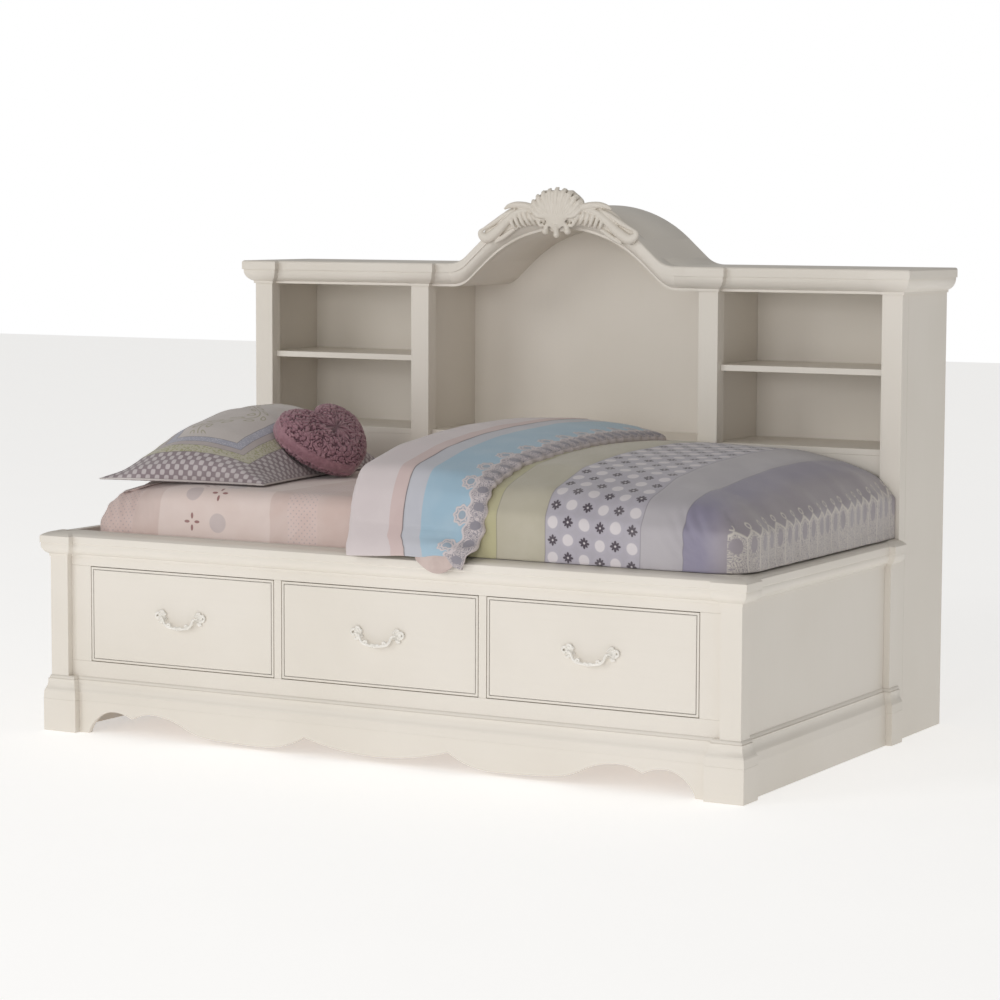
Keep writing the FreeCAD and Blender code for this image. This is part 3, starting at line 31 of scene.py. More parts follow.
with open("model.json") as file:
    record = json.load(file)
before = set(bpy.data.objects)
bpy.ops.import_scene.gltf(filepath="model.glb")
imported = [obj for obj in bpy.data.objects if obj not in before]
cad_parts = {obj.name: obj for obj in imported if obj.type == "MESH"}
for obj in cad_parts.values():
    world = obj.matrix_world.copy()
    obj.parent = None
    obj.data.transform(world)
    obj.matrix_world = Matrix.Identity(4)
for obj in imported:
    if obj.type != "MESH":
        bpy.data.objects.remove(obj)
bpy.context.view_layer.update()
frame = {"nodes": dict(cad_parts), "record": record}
nodes = frame["nodes"]

PLINTH_FRONT = -0.6735
MATTRESS_TOP = 0.693
RECESS = 0.3805
DRAWER_STEP = 0.628


def behind(distance):
    """Y of a line that lies a distance behind the front of the plinth."""
    return PLINTH_FRONT + distance


# --- Materials ---


def joined_by(operation, swapped=False):
    """A method that joins a wire and another value with one node."""
    def join(self, other):
        return self.graph.math(operation, *((other, self) if swapped else (self, other)))
    return join


class Wire:
    """A value in a material's nodes that can be used in a formula."""

    def __init__(self, graph, socket):
        self.graph = graph
        self.socket = socket

    __add__ = joined_by("ADD")
    __sub__ = joined_by("SUBTRACT")
    __rsub__ = joined_by("SUBTRACT", True)
    __mul__ = __rmul__ = joined_by("MULTIPLY")
    __truediv__ = joined_by("DIVIDE")

    def below(self, edge, blur=0.0008):
        """1 where the value is under an edge, 0 above it, with a soft step between."""
        return self.graph.fade(self, edge + blur, edge - blur)

    def above(self, edge, blur=0.0008):
        return self.graph.fade(self, edge - blur, edge + blur)

    def between(self, low, high, blur=0.0008):
        return self.above(low, blur) * self.below(high, blur)

    def size(self):
        return self.graph.math("ABSOLUTE", self)

    def repeat(self, pitch):
        """The value folded into equal cells: its place from the middle of its own cell."""
        return (self.graph.math("FRACT", self / pitch) - 0.5) * pitch

    def cell(self, pitch):
        """The number of the cell that the value lies in."""
        return self.graph.math("FLOOR", self / pitch)


class Graph:
    """A material whose colour, roughness and bump are written as formulas."""

    def __init__(self, name):
        self.material = bpy.data.materials.new(name)
        self.material.use_nodes = True
        self.tree = self.material.node_tree
        self.shader = self.tree.nodes["Principled BSDF"]

    def feed(self, socket, value):
        if isinstance(value, Wire):
            self.tree.links.new(value.socket, socket)
        elif isinstance(value, tuple) and len(value) == 3 and socket.type == "RGBA":
            socket.default_value = (*value, 1.0)
        else:
            socket.default_value = value

    def node(self, kind, inputs, output=0, **settings):
        """The output of a new node, its inputs fed by number or name."""
        made = self.tree.nodes.new("ShaderNode" + kind)
        for key, value in settings.items():
            setattr(made, key, value)
        for key, value in inputs.items():
            self.feed(made.inputs[key], value)
        return Wire(self, made.outputs[output])

    def math(self, operation, *terms):
        return self.node("Math", dict(enumerate(terms)), operation=operation)

    def fade(self, value, start, end):
        """0 at start, 1 at end, smooth between; start may be the higher of the two."""
        ends = (0.0, 1.0) if start < end else (1.0, 0.0)
        inputs = dict(enumerate((value, min(start, end), max(start, end), *ends)))
        return self.node("MapRange", inputs, interpolation_type="SMOOTHSTEP")

    def mix(self, share, first, second):
        return self.node("Mix", {0: share, 6: first, 7: second}, 2, data_type="RGBA")

    def most(self, *parts):
        """The greatest of some values."""
        total = parts[0]
        for part in parts[1:]:
            total = self.math("MAXIMUM", total, part)
        return total

    def place(self):
        """The point on the piece, in metres."""
        return self.node("TexCoord", {}, "Object")

    def cloth(self, layer="flat"):
        """The point on the flat cloth, as two wires in metres."""
        inputs = {0: self.node("UVMap", {}, uv_map=layer)}
        return self.node("SeparateXYZ", inputs), self.node("SeparateXYZ", inputs, 1)

    def join(self, x, y):
        return self.node("CombineXYZ", {0: x, 1: y})

    def stretch(self, vector, scale):
        return self.node("VectorMath", {0: vector, 1: scale}, operation="MULTIPLY")

    def noise(self, vector, scale, detail=2.0, rough=0.5):
        inputs = {"Vector": vector, "Scale": scale, "Detail": detail, "Roughness": rough}
        return self.node("TexNoise", inputs, "Fac")

    def spots(self, vector, scale, feature="F1"):
        return self.node("TexVoronoi", {"Vector": vector, "Scale": scale}, "Distance", feature=feature)

    def length(self, x, y):
        return self.math("SQRT", x * x + y * y)

    def finish(self, colour, roughness, height=None, relief=0.001, strength=1.0, **constants):
        """Connect the formulas and set the shader's own constants."""
        self.feed(self.shader.inputs["Base Color"], colour)
        self.feed(self.shader.inputs["Roughness"], roughness)
        if height is not None:
            inputs = {"Strength": strength, "Distance": relief, "Height": height}
            self.feed(self.shader.inputs["Normal"], self.node("Bump", inputs))
        for key, value in constants.items():
            self.feed(self.shader.inputs[key.replace("_", " ")], value)
        return self.material


def paint(name, colour, shade, along):
    """Sprayed paint on wood: slow changes of tone, the grain under it, a faint orange peel."""
    graph = Graph(name)
    place = graph.place()
    slow = graph.noise(place, 1.7, 3.0)
    grain = graph.noise(graph.stretch(place, along), 1.0, 3.0)
    peel = graph.noise(place, 420.0, 2.0)
    tone = graph.mix(graph.fade(slow, 0.3, 0.7), shade, colour)
    tone = graph.mix(graph.fade(grain, 0.35, 0.75) * 0.1, tone, shade)
    rough = graph.fade(slow + peel * 0.2, 0.3, 0.9) * 0.12 + 0.36
    height = peel * 0.5 + grain
    return graph.finish(tone, rough, height, 0.0004, 0.5, Coat_Weight=0.12, Coat_Roughness=0.3)


def bare_wood(name):
    """Sanded softwood: growth rings drawn out into grain, fine pores."""
    graph = Graph(name)
    place = graph.place()
    drawn = graph.stretch(place, (2.0, 26.0, 26.0))
    wave = graph.noise(drawn, 1.6, 4.0, 0.6)
    rings = graph.math("FRACT", wave * 9.0)
    rings = graph.fade((rings - 0.5).size(), 0.0, 0.5)
    pores = graph.noise(graph.stretch(place, (40.0, 900.0, 900.0)), 1.0, 2.0)
    tone = graph.mix(rings, (0.44, 0.29, 0.15), (0.66, 0.49, 0.31))
    tone = graph.mix(graph.fade(pores, 0.55, 0.75) * 0.4, tone, (0.34, 0.21, 0.1))
    return graph.finish(tone, pores * 0.2 + 0.5, rings + pores, 0.0003, 0.5)


def steel(name, colour):
    """Zinc plated sheet: fine drawn lines and a cloudy bloom."""
    graph = Graph(name)
    place = graph.place()
    lines = graph.noise(graph.stretch(place, (900.0, 12.0, 900.0)), 1.0, 3.0)
    bloom = graph.noise(place, 35.0, 4.0)
    tone = graph.mix(graph.fade(bloom, 0.35, 0.7), colour, tuple(part * 0.8 for part in colour))
    return graph.finish(tone, bloom * 0.25 + lines * 0.1 + 0.22, lines, 0.0002, 0.4, Metallic=1.0)


def enamel(name):
    """White enamel on cast metal: glossy and slightly uneven."""
    graph = Graph(name)
    place = graph.place()
    cast = graph.noise(place, 160.0, 3.0)
    slow = graph.noise(place, 30.0, 2.0)
    tone = graph.mix(graph.fade(slow, 0.3, 0.7), (0.79, 0.76, 0.7), (0.86, 0.83, 0.78))
    return graph.finish(tone, slow * 0.15 + 0.2, cast, 0.0003, 0.35, Coat_Weight=0.4, Coat_Roughness=0.12)


# --- Shapes ---


def lattice(rows, columns, flip=False):
    """Faces between the points of a table."""
    faces = []
    for i in range(rows - 1):
        for j in range(columns - 1):
            k = i * columns + j
            face = (k, k + 1, k + columns + 1, k + columns)
            faces.append(face[::-1] if flip else face)
    return faces


def new_object(name, data):
    made = bpy.data.objects.new(name, data)
    bpy.context.scene.collection.objects.link(made)
    return made


def piece(name, points, faces, material, maps=None):
    """A smooth mesh object; maps are its flat coordinates, by name, one per point."""
    mesh = bpy.data.meshes.new(name)
    mesh.from_pydata([tuple(map(float, point)) for point in points], [], faces)
    mesh.polygons.foreach_set("use_smooth", [True] * len(mesh.polygons))
    corner = np.empty(len(mesh.loops), np.int32)
    mesh.loops.foreach_get("vertex_index", corner)
    for layer, flat in (maps or {}).items():
        uv = mesh.uv_layers.new(name=layer)
        uv.data.foreach_set("uv", np.asarray(flat, np.float32).reshape(-1, 2)[corner].ravel())
    mesh.materials.append(material)
    return new_object(name, mesh)


def grid_piece(name, table, material, maps=None, flip=False):
    rows, columns = table.shape[:2]
    return piece(name, table.reshape(-1, 3), lattice(rows, columns, flip), material, maps)


def walk(line):
    """Distance along a broken line to each of its points."""
    return np.r_[0.0, np.cumsum(np.linalg.norm(np.diff(line, axis=0), axis=1))]


def evenly(line, count):
    """Points at equal steps along a broken line."""
    line = np.asarray(line, float)
    steps = walk(line)
    at = np.linspace(0.0, steps[-1], count)
    return np.stack([np.interp(at, steps, line[:, k]) for k in range(line.shape[1])], 1)


def soften(table, times, hold=(1, 1, 1, 1)):
    """Average a table of points with its neighbours; hold keeps that many rows and columns still."""
    table = table.copy()
    top, bottom, left, right = hold
    inner = (slice(top, table.shape[0] - bottom), slice(left, table.shape[1] - right))
    for _ in range(times):
        wide = np.pad(table, ((1, 1), (1, 1), (0, 0)), "edge")
        mean = (wide[:-2, 1:-1] + wide[2:, 1:-1] + wide[1:-1, :-2] + wide[1:-1, 2:]) / 4
        table[inner] = (table[inner] + mean[inner]) / 2
    return table


def outward(table, flip=False):
    """The unit normals of a table of points."""
    down = np.gradient(table, axis=0)
    along = np.gradient(table, axis=1)
    normal = np.cross(along, down) if flip else np.cross(down, along)
    return normal / np.maximum(np.linalg.norm(normal, axis=2, keepdims=True), 1e-9)


def ripple(table, scale, seed, octaves=2):
    """Smooth noise over a table of points, between about -1 and 1."""
    shift = Vector((seed * 7.1, seed * 3.3, seed * 5.7))
    flat = [noise.fractal(Vector(p) * scale + shift, 1.0, 2.0, octaves) for p in table.reshape(-1, 3)]
    return np.asarray(flat).reshape(table.shape[:2])


def smoothstep(value, low, high):
    share = np.clip((value - low) / (high - low), 0.0, 1.0)
    return share * share * (3 - 2 * share)


def bell(value, centre, width):
    """1 at a centre, falling off to nothing beyond about twice a width."""
    return np.exp(-(((value - centre) / width) ** 2))


def settle(made, body, slot, *stands_for):
    """Give a finished piece its body and hide the solids that it stands for; the slot is not used."""
    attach(made, body)
    if stands_for:
        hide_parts(*stands_for)
    return made


def thicken(made, thickness):
    made.modifiers.new("thickness", "SOLIDIFY").thickness = thickness


def closed(made):
    """The piece with its seam points joined and its faces turned outward."""
    mesh = bmesh.new()
    mesh.from_mesh(made.data)
    bmesh.ops.remove_doubles(mesh, verts=mesh.verts, dist=0.00005)
    bmesh.ops.recalc_face_normals(mesh, faces=mesh.faces)
    mesh.to_mesh(made.data)
    mesh.free()
    return made


# --- Camera, light and floor ---


def turned(degrees, axis):
    return Matrix.Rotation(radians(degrees), 4, axis)


def make_camera():
    camera = new_object("camera", bpy.data.cameras.new("camera"))
    camera.data.lens = 108.92
    camera.data.sensor_width = 36.0
    camera.data.clip_end = 60.0
    turn = turned(29.3187, "Z") @ turned(90 - 5.5283, "X") @ turned(0.2126, "Z")
    camera.matrix_world = Matrix.Translation((4.1156, -7.3165, 1.4542)) @ turn
    bpy.context.scene.camera = camera


def soft_box(name, place, target, width, height, power):
    """A large soft lamp that faces a point."""
    lamp = bpy.data.lights.new(name, "AREA")
    lamp.shape = "RECTANGLE"
    lamp.size, lamp.size_y = width, height
    lamp.energy = power
    away = Vector(place) - Vector(target)
    turn = away.to_track_quat("Z", "Y").to_matrix().to_4x4()
    new_object(name, lamp).matrix_world = Matrix.Translation(place) @ turn


def make_studio():
    scene = bpy.context.scene
    scene.view_settings.view_transform = "Standard"
    world = bpy.data.worlds.new("studio")
    scene.world = world
    world.use_nodes = True
    tree = world.node_tree
    seen = tree.nodes.new("ShaderNodeBackground")
    seen.inputs["Color"].default_value = (1.0, 1.0, 1.0, 1.0)
    ambient = tree.nodes["Background"]
    ambient.inputs["Color"].default_value = (1.0, 0.985, 0.96, 1.0)
    ambient.inputs["Strength"].default_value = AMBIENT
    path = tree.nodes.new("ShaderNodeLightPath")
    both = tree.nodes.new("ShaderNodeMixShader")
    tree.links.new(path.outputs["Is Camera Ray"], both.inputs[0])
    tree.links.new(ambient.outputs[0], both.inputs[1])
    tree.links.new(seen.outputs[0], both.inputs[2])
    tree.links.new(both.outputs[0], tree.nodes["World Output"].inputs["Surface"])
    for lamp in LAMPS:
        soft_box(*lamp)
    graph = Graph("floor_paint")
    mottle = graph.noise(graph.place(), 2.2, 3.0)
    tone = graph.mix(mottle, (0.9, 0.895, 0.885), (0.93, 0.925, 0.915))
    glow = {"Emission_Color": (1.0, 1.0, 1.0), "Emission_Strength": FLOOR_GLOW}
    material = graph.finish(tone, 0.85, mottle, 0.0005, 0.2, **glow)
    floor = piece("floor", [(-20, -20, 0), (20, -20, 0), (20, 20, 0), (-20, 20, 0)], [(0, 1, 2, 3)], material)


AMBIENT = 0.42
FLOOR_GLOW = 0.45
LAMPS = [
    ("front_left", (-6.0, -10.0, 5.0), (0.0, -0.2, 0.6), 5.0, 4.0, 210.0),
    ("front", (1.0, -12.0, 2.3), (0.0, -0.2, 0.6), 5.0, 3.4, 250.0),
]

make_camera()
make_studio()


# --- Furniture ---


EASED = {"painted_wood": 0.0012, "bare_wood": 0.0008}


def dress_furniture():
    """Paint, bare wood and steel on the solids, with the sharp edges of the boards eased."""
    light, shade = (0.8, 0.752, 0.685), (0.745, 0.695, 0.62)
    stretches = (("lying", (6.0, 90.0, 90.0)), ("upright", (90.0, 90.0, 6.0)), ("deep", (90.0, 6.0, 90.0)))
    grain = {way: paint(f"paint_{way}", light, shade, along) for way, along in stretches}
    others = {
        "bare_wood": bare_wood("pine"),
        "runner_steel": steel("runner_zinc", (0.55, 0.56, 0.57)),
        "zinc_steel": steel("bolt_zinc", (0.52, 0.53, 0.55)),
    }
    upright = ("posts", "stiles", "panel", "side", "back")
    slots = {part["node"]: part["material_slot"] for part in frame["record"]["subparts"]}
    for name, solid in nodes.items():
        slot = slots[name]
        way = "upright" if any(word in name for word in upright) else "lying"
        if name in ("end_cap_mouldings", "end_base_mouldings"):
            way = "deep"
        material = grain[way] if slot == "painted_wood" else others.get(slot)
        if material:
            solid.data.materials.clear()
            solid.data.materials.append(material)
        if slot in EASED and name != "carved_crest":
            ease_edges(solid, EASED[slot])


def ease_edges(solid, radius):
    weld = solid.modifiers.new("weld", "WELD")
    weld.merge_threshold = 0.00002
    ease = solid.modifiers.new("ease", "BEVEL")
    ease.width = radius
    ease.segments = 2
    ease.angle_limit = radians(38)
    ease.harden_normals = True


dress_furniture()


# --- Cloth prints ---


def weave(graph, across, along, pitch=0.0009):
    """Threads of a plain weave as a height between 0 and 1."""
    warp = graph.math("SINE", across * (2 * pi / pitch))
    weft = graph.math("SINE", along * (2 * pi / pitch))
    return (warp * weft) * 0.25 + 0.5


def bands(graph, place, edges, colours, blur=0.0007):
    """Stripes of cloth sewn side by side: colours[i] up to edges[i], the last one beyond."""
    tone = colours[0]
    for edge, colour in zip(edges, colours[1:]):
        tone = graph.mix(place.above(edge, blur), tone, colour)
    return tone


def dyed(graph, tone, *layers):
    """A tone under layers of (share, colour)."""
    for share, colour in layers:
        tone = graph.mix(share, tone, colour)
    return tone


def seams(graph, place, edges, width=0.0016):
    """1 in the narrow lines where the stripes are sewn together."""
    return graph.most(*[(place - edge).size().below(width, width * 0.6) for edge in edges])


def cotton(graph, tone, across, along, *bumps, rough=0.86, sheen=0.25):
    """The finished material of a woven cotton with some bumps in it."""
    height = weave(graph, across, along) * 0.3
    for bump in bumps:
        height = height + bump
    return graph.finish(tone, rough, height, 0.0012, 0.5, Sheen_Weight=sheen)


def worn(graph, tone, strength=0.08):
    """Cloudy changes of tone, as washed cotton has them."""
    cloud = graph.noise(graph.place(), 9.0, 3.0)
    return graph.mix(graph.fade(cloud, 0.35, 0.7) * strength, tone, (0.9, 0.86, 0.84))


def petals(graph, x, y, reach, half_long, half_wide, turned=False):
    """Four petals about the middle of a cell, 1 inside them."""
    if turned:
        x, y = (x + y) * 0.7071, (x - y) * 0.7071
    ax, ay = x.size(), y.size()
    first = graph.length((ax - reach) / half_long, ay / half_wide)
    second = graph.length(ax / half_wide, (ay - reach) / half_long)
    return graph.math("MINIMUM", first, second).below(1.0, 0.18)


def chequer(graph, x, y, pitch):
    """Cell places of a chequerboard, and 1 on its first kind of cell."""
    odd = graph.math("MODULO", (x.cell(pitch) + y.cell(pitch)).size(), 2.0)
    return x.repeat(pitch), y.repeat(pitch), odd.below(0.5, 0.01)


def sheet_cloth():
    graph = Graph("printed_sheet")
    x, t = graph.cloth()
    pale, pink = (0.66, 0.545, 0.505), (0.585, 0.455, 0.415)
    dotted_ground = (0.61, 0.475, 0.44)
    edges = (-0.813, -0.727, -0.361, -0.304, -0.21)
    tone = bands(graph, x, edges, (dotted_ground, pink, pale, pink, dotted_ground, pink), 0.002)
    cell_x, cell_t, first = chequer(graph, x + 0.615 + 0.0425, t - 0.62 + 0.0425, 0.085)
    in_field = x.between(-0.662, -0.484)
    petal = petals(graph, cell_x, cell_t, 0.0165, 0.0085, 0.004) * first * in_field
    disc = graph.length(cell_x, cell_t).below(0.0265, 0.002) * (1.0 - first) * in_field
    dot_x, dot_t, on = chequer(graph, x, t, 0.0085)
    in_dots = graph.most(x.below(-0.813), x.between(-0.304, -0.215))
    dots = graph.length(dot_x, dot_t).below(0.0021, 0.0008) * on * in_dots
    tone = dyed(graph, tone, (disc * 0.75, (0.46, 0.39, 0.39)), (petal * 0.85, (0.22, 0.075, 0.07)),
                (dots * 0.6, (0.36, 0.31, 0.33)))
    tone = worn(graph, tone, 0.12)
    return cotton(graph, tone, x, t, graph.noise(graph.place(), 40.0, 3.0), rough=0.88)


def duvet_cloth():
    """Five printed stripes, a satin end and a lace trim round the foot."""
    graph = Graph("printed_duvet")
    x, t = graph.cloth()
    along, up = graph.cloth("foot")
    chartreuse, taupe, ground = (0.45, 0.42, 0.255), (0.45, 0.415, 0.325), (0.4, 0.375, 0.42)
    silver, purple, satin = (0.42, 0.395, 0.42), (0.235, 0.215, 0.3), (0.3, 0.265, 0.29)
    tone = bands(graph, x, STRIPE_EDGES, (chartreuse, taupe, ground, silver, purple), 0.0012)
    tone = graph.mix(x.above(0.965, 0.05), tone, satin)
    cell_x, cell_t, first = chequer(graph, x - 0.4905, t + 0.02, 0.0447)
    in_lattice = x.between(0.492, 0.757)
    ring = graph.length(cell_x, cell_t)
    circle = ring.below(0.015, 0.002) * (1.0 - first) * in_lattice
    halo = ring.between(0.0165, 0.0215, 0.004) * in_lattice
    crossed = petals(graph, cell_x, cell_t, 0.0088, 0.0058, 0.0034)
    slant = petals(graph, cell_x, cell_t, 0.007, 0.0062, 0.003, True)
    motif = graph.most(crossed, slant) * first * in_lattice
    heart = ring.below(0.0026, 0.0012) * first * in_lattice
    tone = dyed(graph, tone, (halo * 0.35, (0.46, 0.43, 0.5)), (circle * 0.9, (0.66, 0.615, 0.63)),
                (motif * 0.92, (0.045, 0.03, 0.045)), (heart * 0.9, (0.62, 0.58, 0.6)),
                (seams(graph, x, STRIPE_EDGES) * 0.4, (0.12, 0.1, 0.12)))
    shine = x.above(0.877)
    threads = foot_lace(graph, along, up)
    lace = threads * x.above(0.99)
    tone = graph.mix(lace, worn(graph, tone, 0.07), (0.62, 0.575, 0.53))
    rough = 0.86 - shine * 0.42 + lace * 0.4
    cloud = graph.noise(graph.place(), 45.0, 3.0)
    return cotton(graph, tone, x, t, cloud, threads * lace * 2.5, rough=rough, sheen=0.3)


def leafwork(graph, place, scale):
    """Cream leaves and petals packed together, 1 on their threads."""
    veins = graph.spots(place, scale, "DISTANCE_TO_EDGE").between(0.05, 0.22, 0.04)
    fine = graph.spots(place, scale * 2.3, "DISTANCE_TO_EDGE").above(0.16, 0.08)
    return graph.most(veins * 0.9, fine * 0.55)


def foot_lace(graph, along, up):
    """Braided arches with picots over leafwork, 1 on the threads."""
    pitch = 0.05
    top = along * 0.035 + 0.098
    share = up / top
    cell = along.repeat(pitch).size()
    arch = share - (1.0 - cell * (0.3 / pitch))
    braid = arch.size().below(0.03, 0.02)
    window = graph.length(cell / 0.0125, (share - 0.68) / 0.2).below(1.0, 0.12)
    upright = (cell - pitch / 2).size().below(0.0022, 0.0012) * share.below(0.86, 0.03)
    filled = leafwork(graph, graph.join(along, up), 105.0) * arch.below(0.0, 0.02) * (1.0 - window)
    loop = graph.length(cell, up - top * 1.1)
    picot = (loop - 0.0062).size().below(0.0019, 0.001)
    return graph.most(filled, braid, picot, upright * (1.0 - window))


def fold_cloth():
    graph = Graph("printed_foldback")
    x, t = graph.cloth()
    hem, _ = graph.cloth("hem")
    pale, peach, lavender = (0.63, 0.56, 0.565), (0.585, 0.455, 0.44), (0.49, 0.495, 0.545)
    blue, ground = (0.33, 0.475, 0.585), (0.27, 0.235, 0.26)
    tone = bands(graph, x, (0.136, 0.177, 0.23), (pale, peach, lavender, blue), 0.0015)
    # Painted shadow: a near-black line where the peach panel's edge lies over the lavender.
    tone = graph.mix((x - 0.177).size().below(0.0014, 0.0008) * 0.7, tone, (0.05, 0.04, 0.045))
    lace, backing = hem_lace(graph, hem, t)
    tone = graph.mix(backing, worn(graph, tone), ground)
    tone = graph.mix(lace, tone, (0.61, 0.545, 0.55))
    return cotton(graph, tone, x, t, graph.noise(graph.place(), 18.0, 3.0), lace * 2.5)


def hem_lace(graph, hem, along):
    """A leafy band with windows and round medallions: 1 on its threads, and 1 on its backing."""
    pitch = 0.098
    cell = along.repeat(pitch)
    across = hem - 0.066
    oval = graph.length(cell, across * 1.1)
    angle = graph.math("ARCTAN2", across, cell)
    scallop = graph.math("COSINE", angle * 8.0) * 0.0022 + 0.0235
    rim = (oval - scallop).size().below(0.003, 0.001)
    ring = (oval - 0.0135).size().below(0.0024, 0.001)
    inside = oval.below(0.0235, 0.0008)
    spokes = graph.math("COSINE", angle * 8.0).above(0.3, 0.3) * oval.between(0.0145, 0.0215, 0.001)
    wave = graph.math("SINE", along * (4 * pi / pitch)) * 0.005 + 0.05
    in_band = (hem - wave).below(0.0, 0.001)
    window = graph.length(along.repeat(pitch / 2) / 0.012, (hem - 0.024) / 0.014).below(1.0, 0.1)
    leaves = leafwork(graph, graph.join(along, hem), 95.0) * in_band * (1.0 - window)
    braid = (hem - wave).size().below(0.003, 0.0012)
    border = hem.below(0.005, 0.001)
    lace = graph.most(rim, ring, spokes * 0.8, leaves, braid, border)
    return lace, graph.most(in_band * 0.9, inside * 0.45)


def pillow_cloth():
    graph = Graph("bordered_pillow")
    u, v = graph.cloth()
    nearest = graph.math(
        "MINIMUM", graph.math("MINIMUM", u, PILLOW_WIDTH - u), graph.math("MINIMUM", v, PILLOW_LENGTH - v)
    )
    edges = (0.0035, 0.088, 0.123, 0.143, 0.168)
    white, plum, ditsy = (0.62, 0.58, 0.56), (0.25, 0.2, 0.215), (0.49, 0.455, 0.36)
    mauve, blue, centre = (0.43, 0.375, 0.365), (0.35, 0.35, 0.42), (0.55, 0.5, 0.475)
    tone = bands(graph, nearest, edges, (white, plum, ditsy, mauve, blue, centre))
    cell_u, cell_v, first = chequer(graph, u, v, 0.0145)
    dot = graph.length(cell_u, cell_v).below(0.008, 0.0022) * first * nearest.between(0.0045, 0.087)
    leaf = graph.spots(graph.join(u, v), 150.0).below(0.42, 0.06) * nearest.between(0.089, 0.122)
    lace_dot = graph.spots(graph.join(u, v), 210.0).below(0.35, 0.06) * nearest.between(0.144, 0.167)
    sprig = embroidery(graph, u, v) * nearest.above(0.185)
    tone = dyed(graph, tone, (dot * 0.85, (0.56, 0.51, 0.515)), (leaf * 0.75, (0.3, 0.295, 0.13)),
                (lace_dot * 0.7, (0.58, 0.56, 0.6)), (sprig * 0.8, (0.34, 0.315, 0.2)),
                (seams(graph, nearest, edges[1:], 0.0012) * 0.5, (0.1, 0.08, 0.09)))
    cloud = graph.noise(graph.place(), 38.0, 3.0)
    return cotton(graph, worn(graph, tone), u, v, cloud, sprig * 0.8, dot * 0.3, rough=0.88)


def embroidery(graph, u, v):
    """A wandering stem with leaves on both sides, 1 on its thread."""
    off = u - PILLOW_WIDTH / 2 - graph.math("SINE", v * 22.0) * 0.045
    stem = off.size().below(0.0018, 0.0009)
    cell = v.repeat(0.042)
    side = off.size() - 0.017
    leaf = graph.length((cell + side * 0.8) / 0.013, side / 0.0085)
    return graph.most(stem, (leaf - 0.75).size().below(0.22, 0.1))


def satin_cloth():
    graph = Graph("ruched_satin")
    place = graph.place()
    groove, _ = graph.cloth("folds")
    gather = graph.noise(place, 75.0, 4.0, 0.6)
    tone = graph.mix(graph.fade(gather, 0.35, 0.68), (0.3, 0.145, 0.18), (0.38, 0.2, 0.235))
    # Painted shade: the ruching grooves are darkened by their depth.
    tone = graph.mix(groove.above(0.45, 0.35) * 0.75, tone, (0.1, 0.032, 0.05))
    fine = graph.noise(place, 260.0, 3.0)
    return graph.finish(tone, fine * 0.2 + 0.42, gather + fine * 0.3, 0.003, 0.6, Sheen_Weight=0.35)


PILLOW_RISE = ([0.118, 0.21, 0.34, 0.52, 0.72, 0.85, 0.915], [0.0, 0.078, 0.138, 0.177, 0.18, 0.13, 0.05])
STRIPE_EDGES = (0.35, 0.49, 0.759, 0.877)
PILLOW_WIDTH = 0.52
PILLOW_LENGTH = 0.84


# --- Bedding ---


def rounded_profile(corners, radius, count):
    """A broken line with its corners rounded off, as points at equal steps."""
    line = evenly(corners, count)
    reach = max(1, int(radius / np.linalg.norm(line[1] - line[0])))
    for _ in range(3):
        wide = np.pad(line, ((reach, reach), (0, 0)), "reflect", reflect_type="odd")
        kernel = np.ones(2 * reach + 1) / (2 * reach + 1)
        line = np.stack([np.convolve(wide[:, k], kernel, "valid") for k in range(line.shape[1])], 1)
    return line


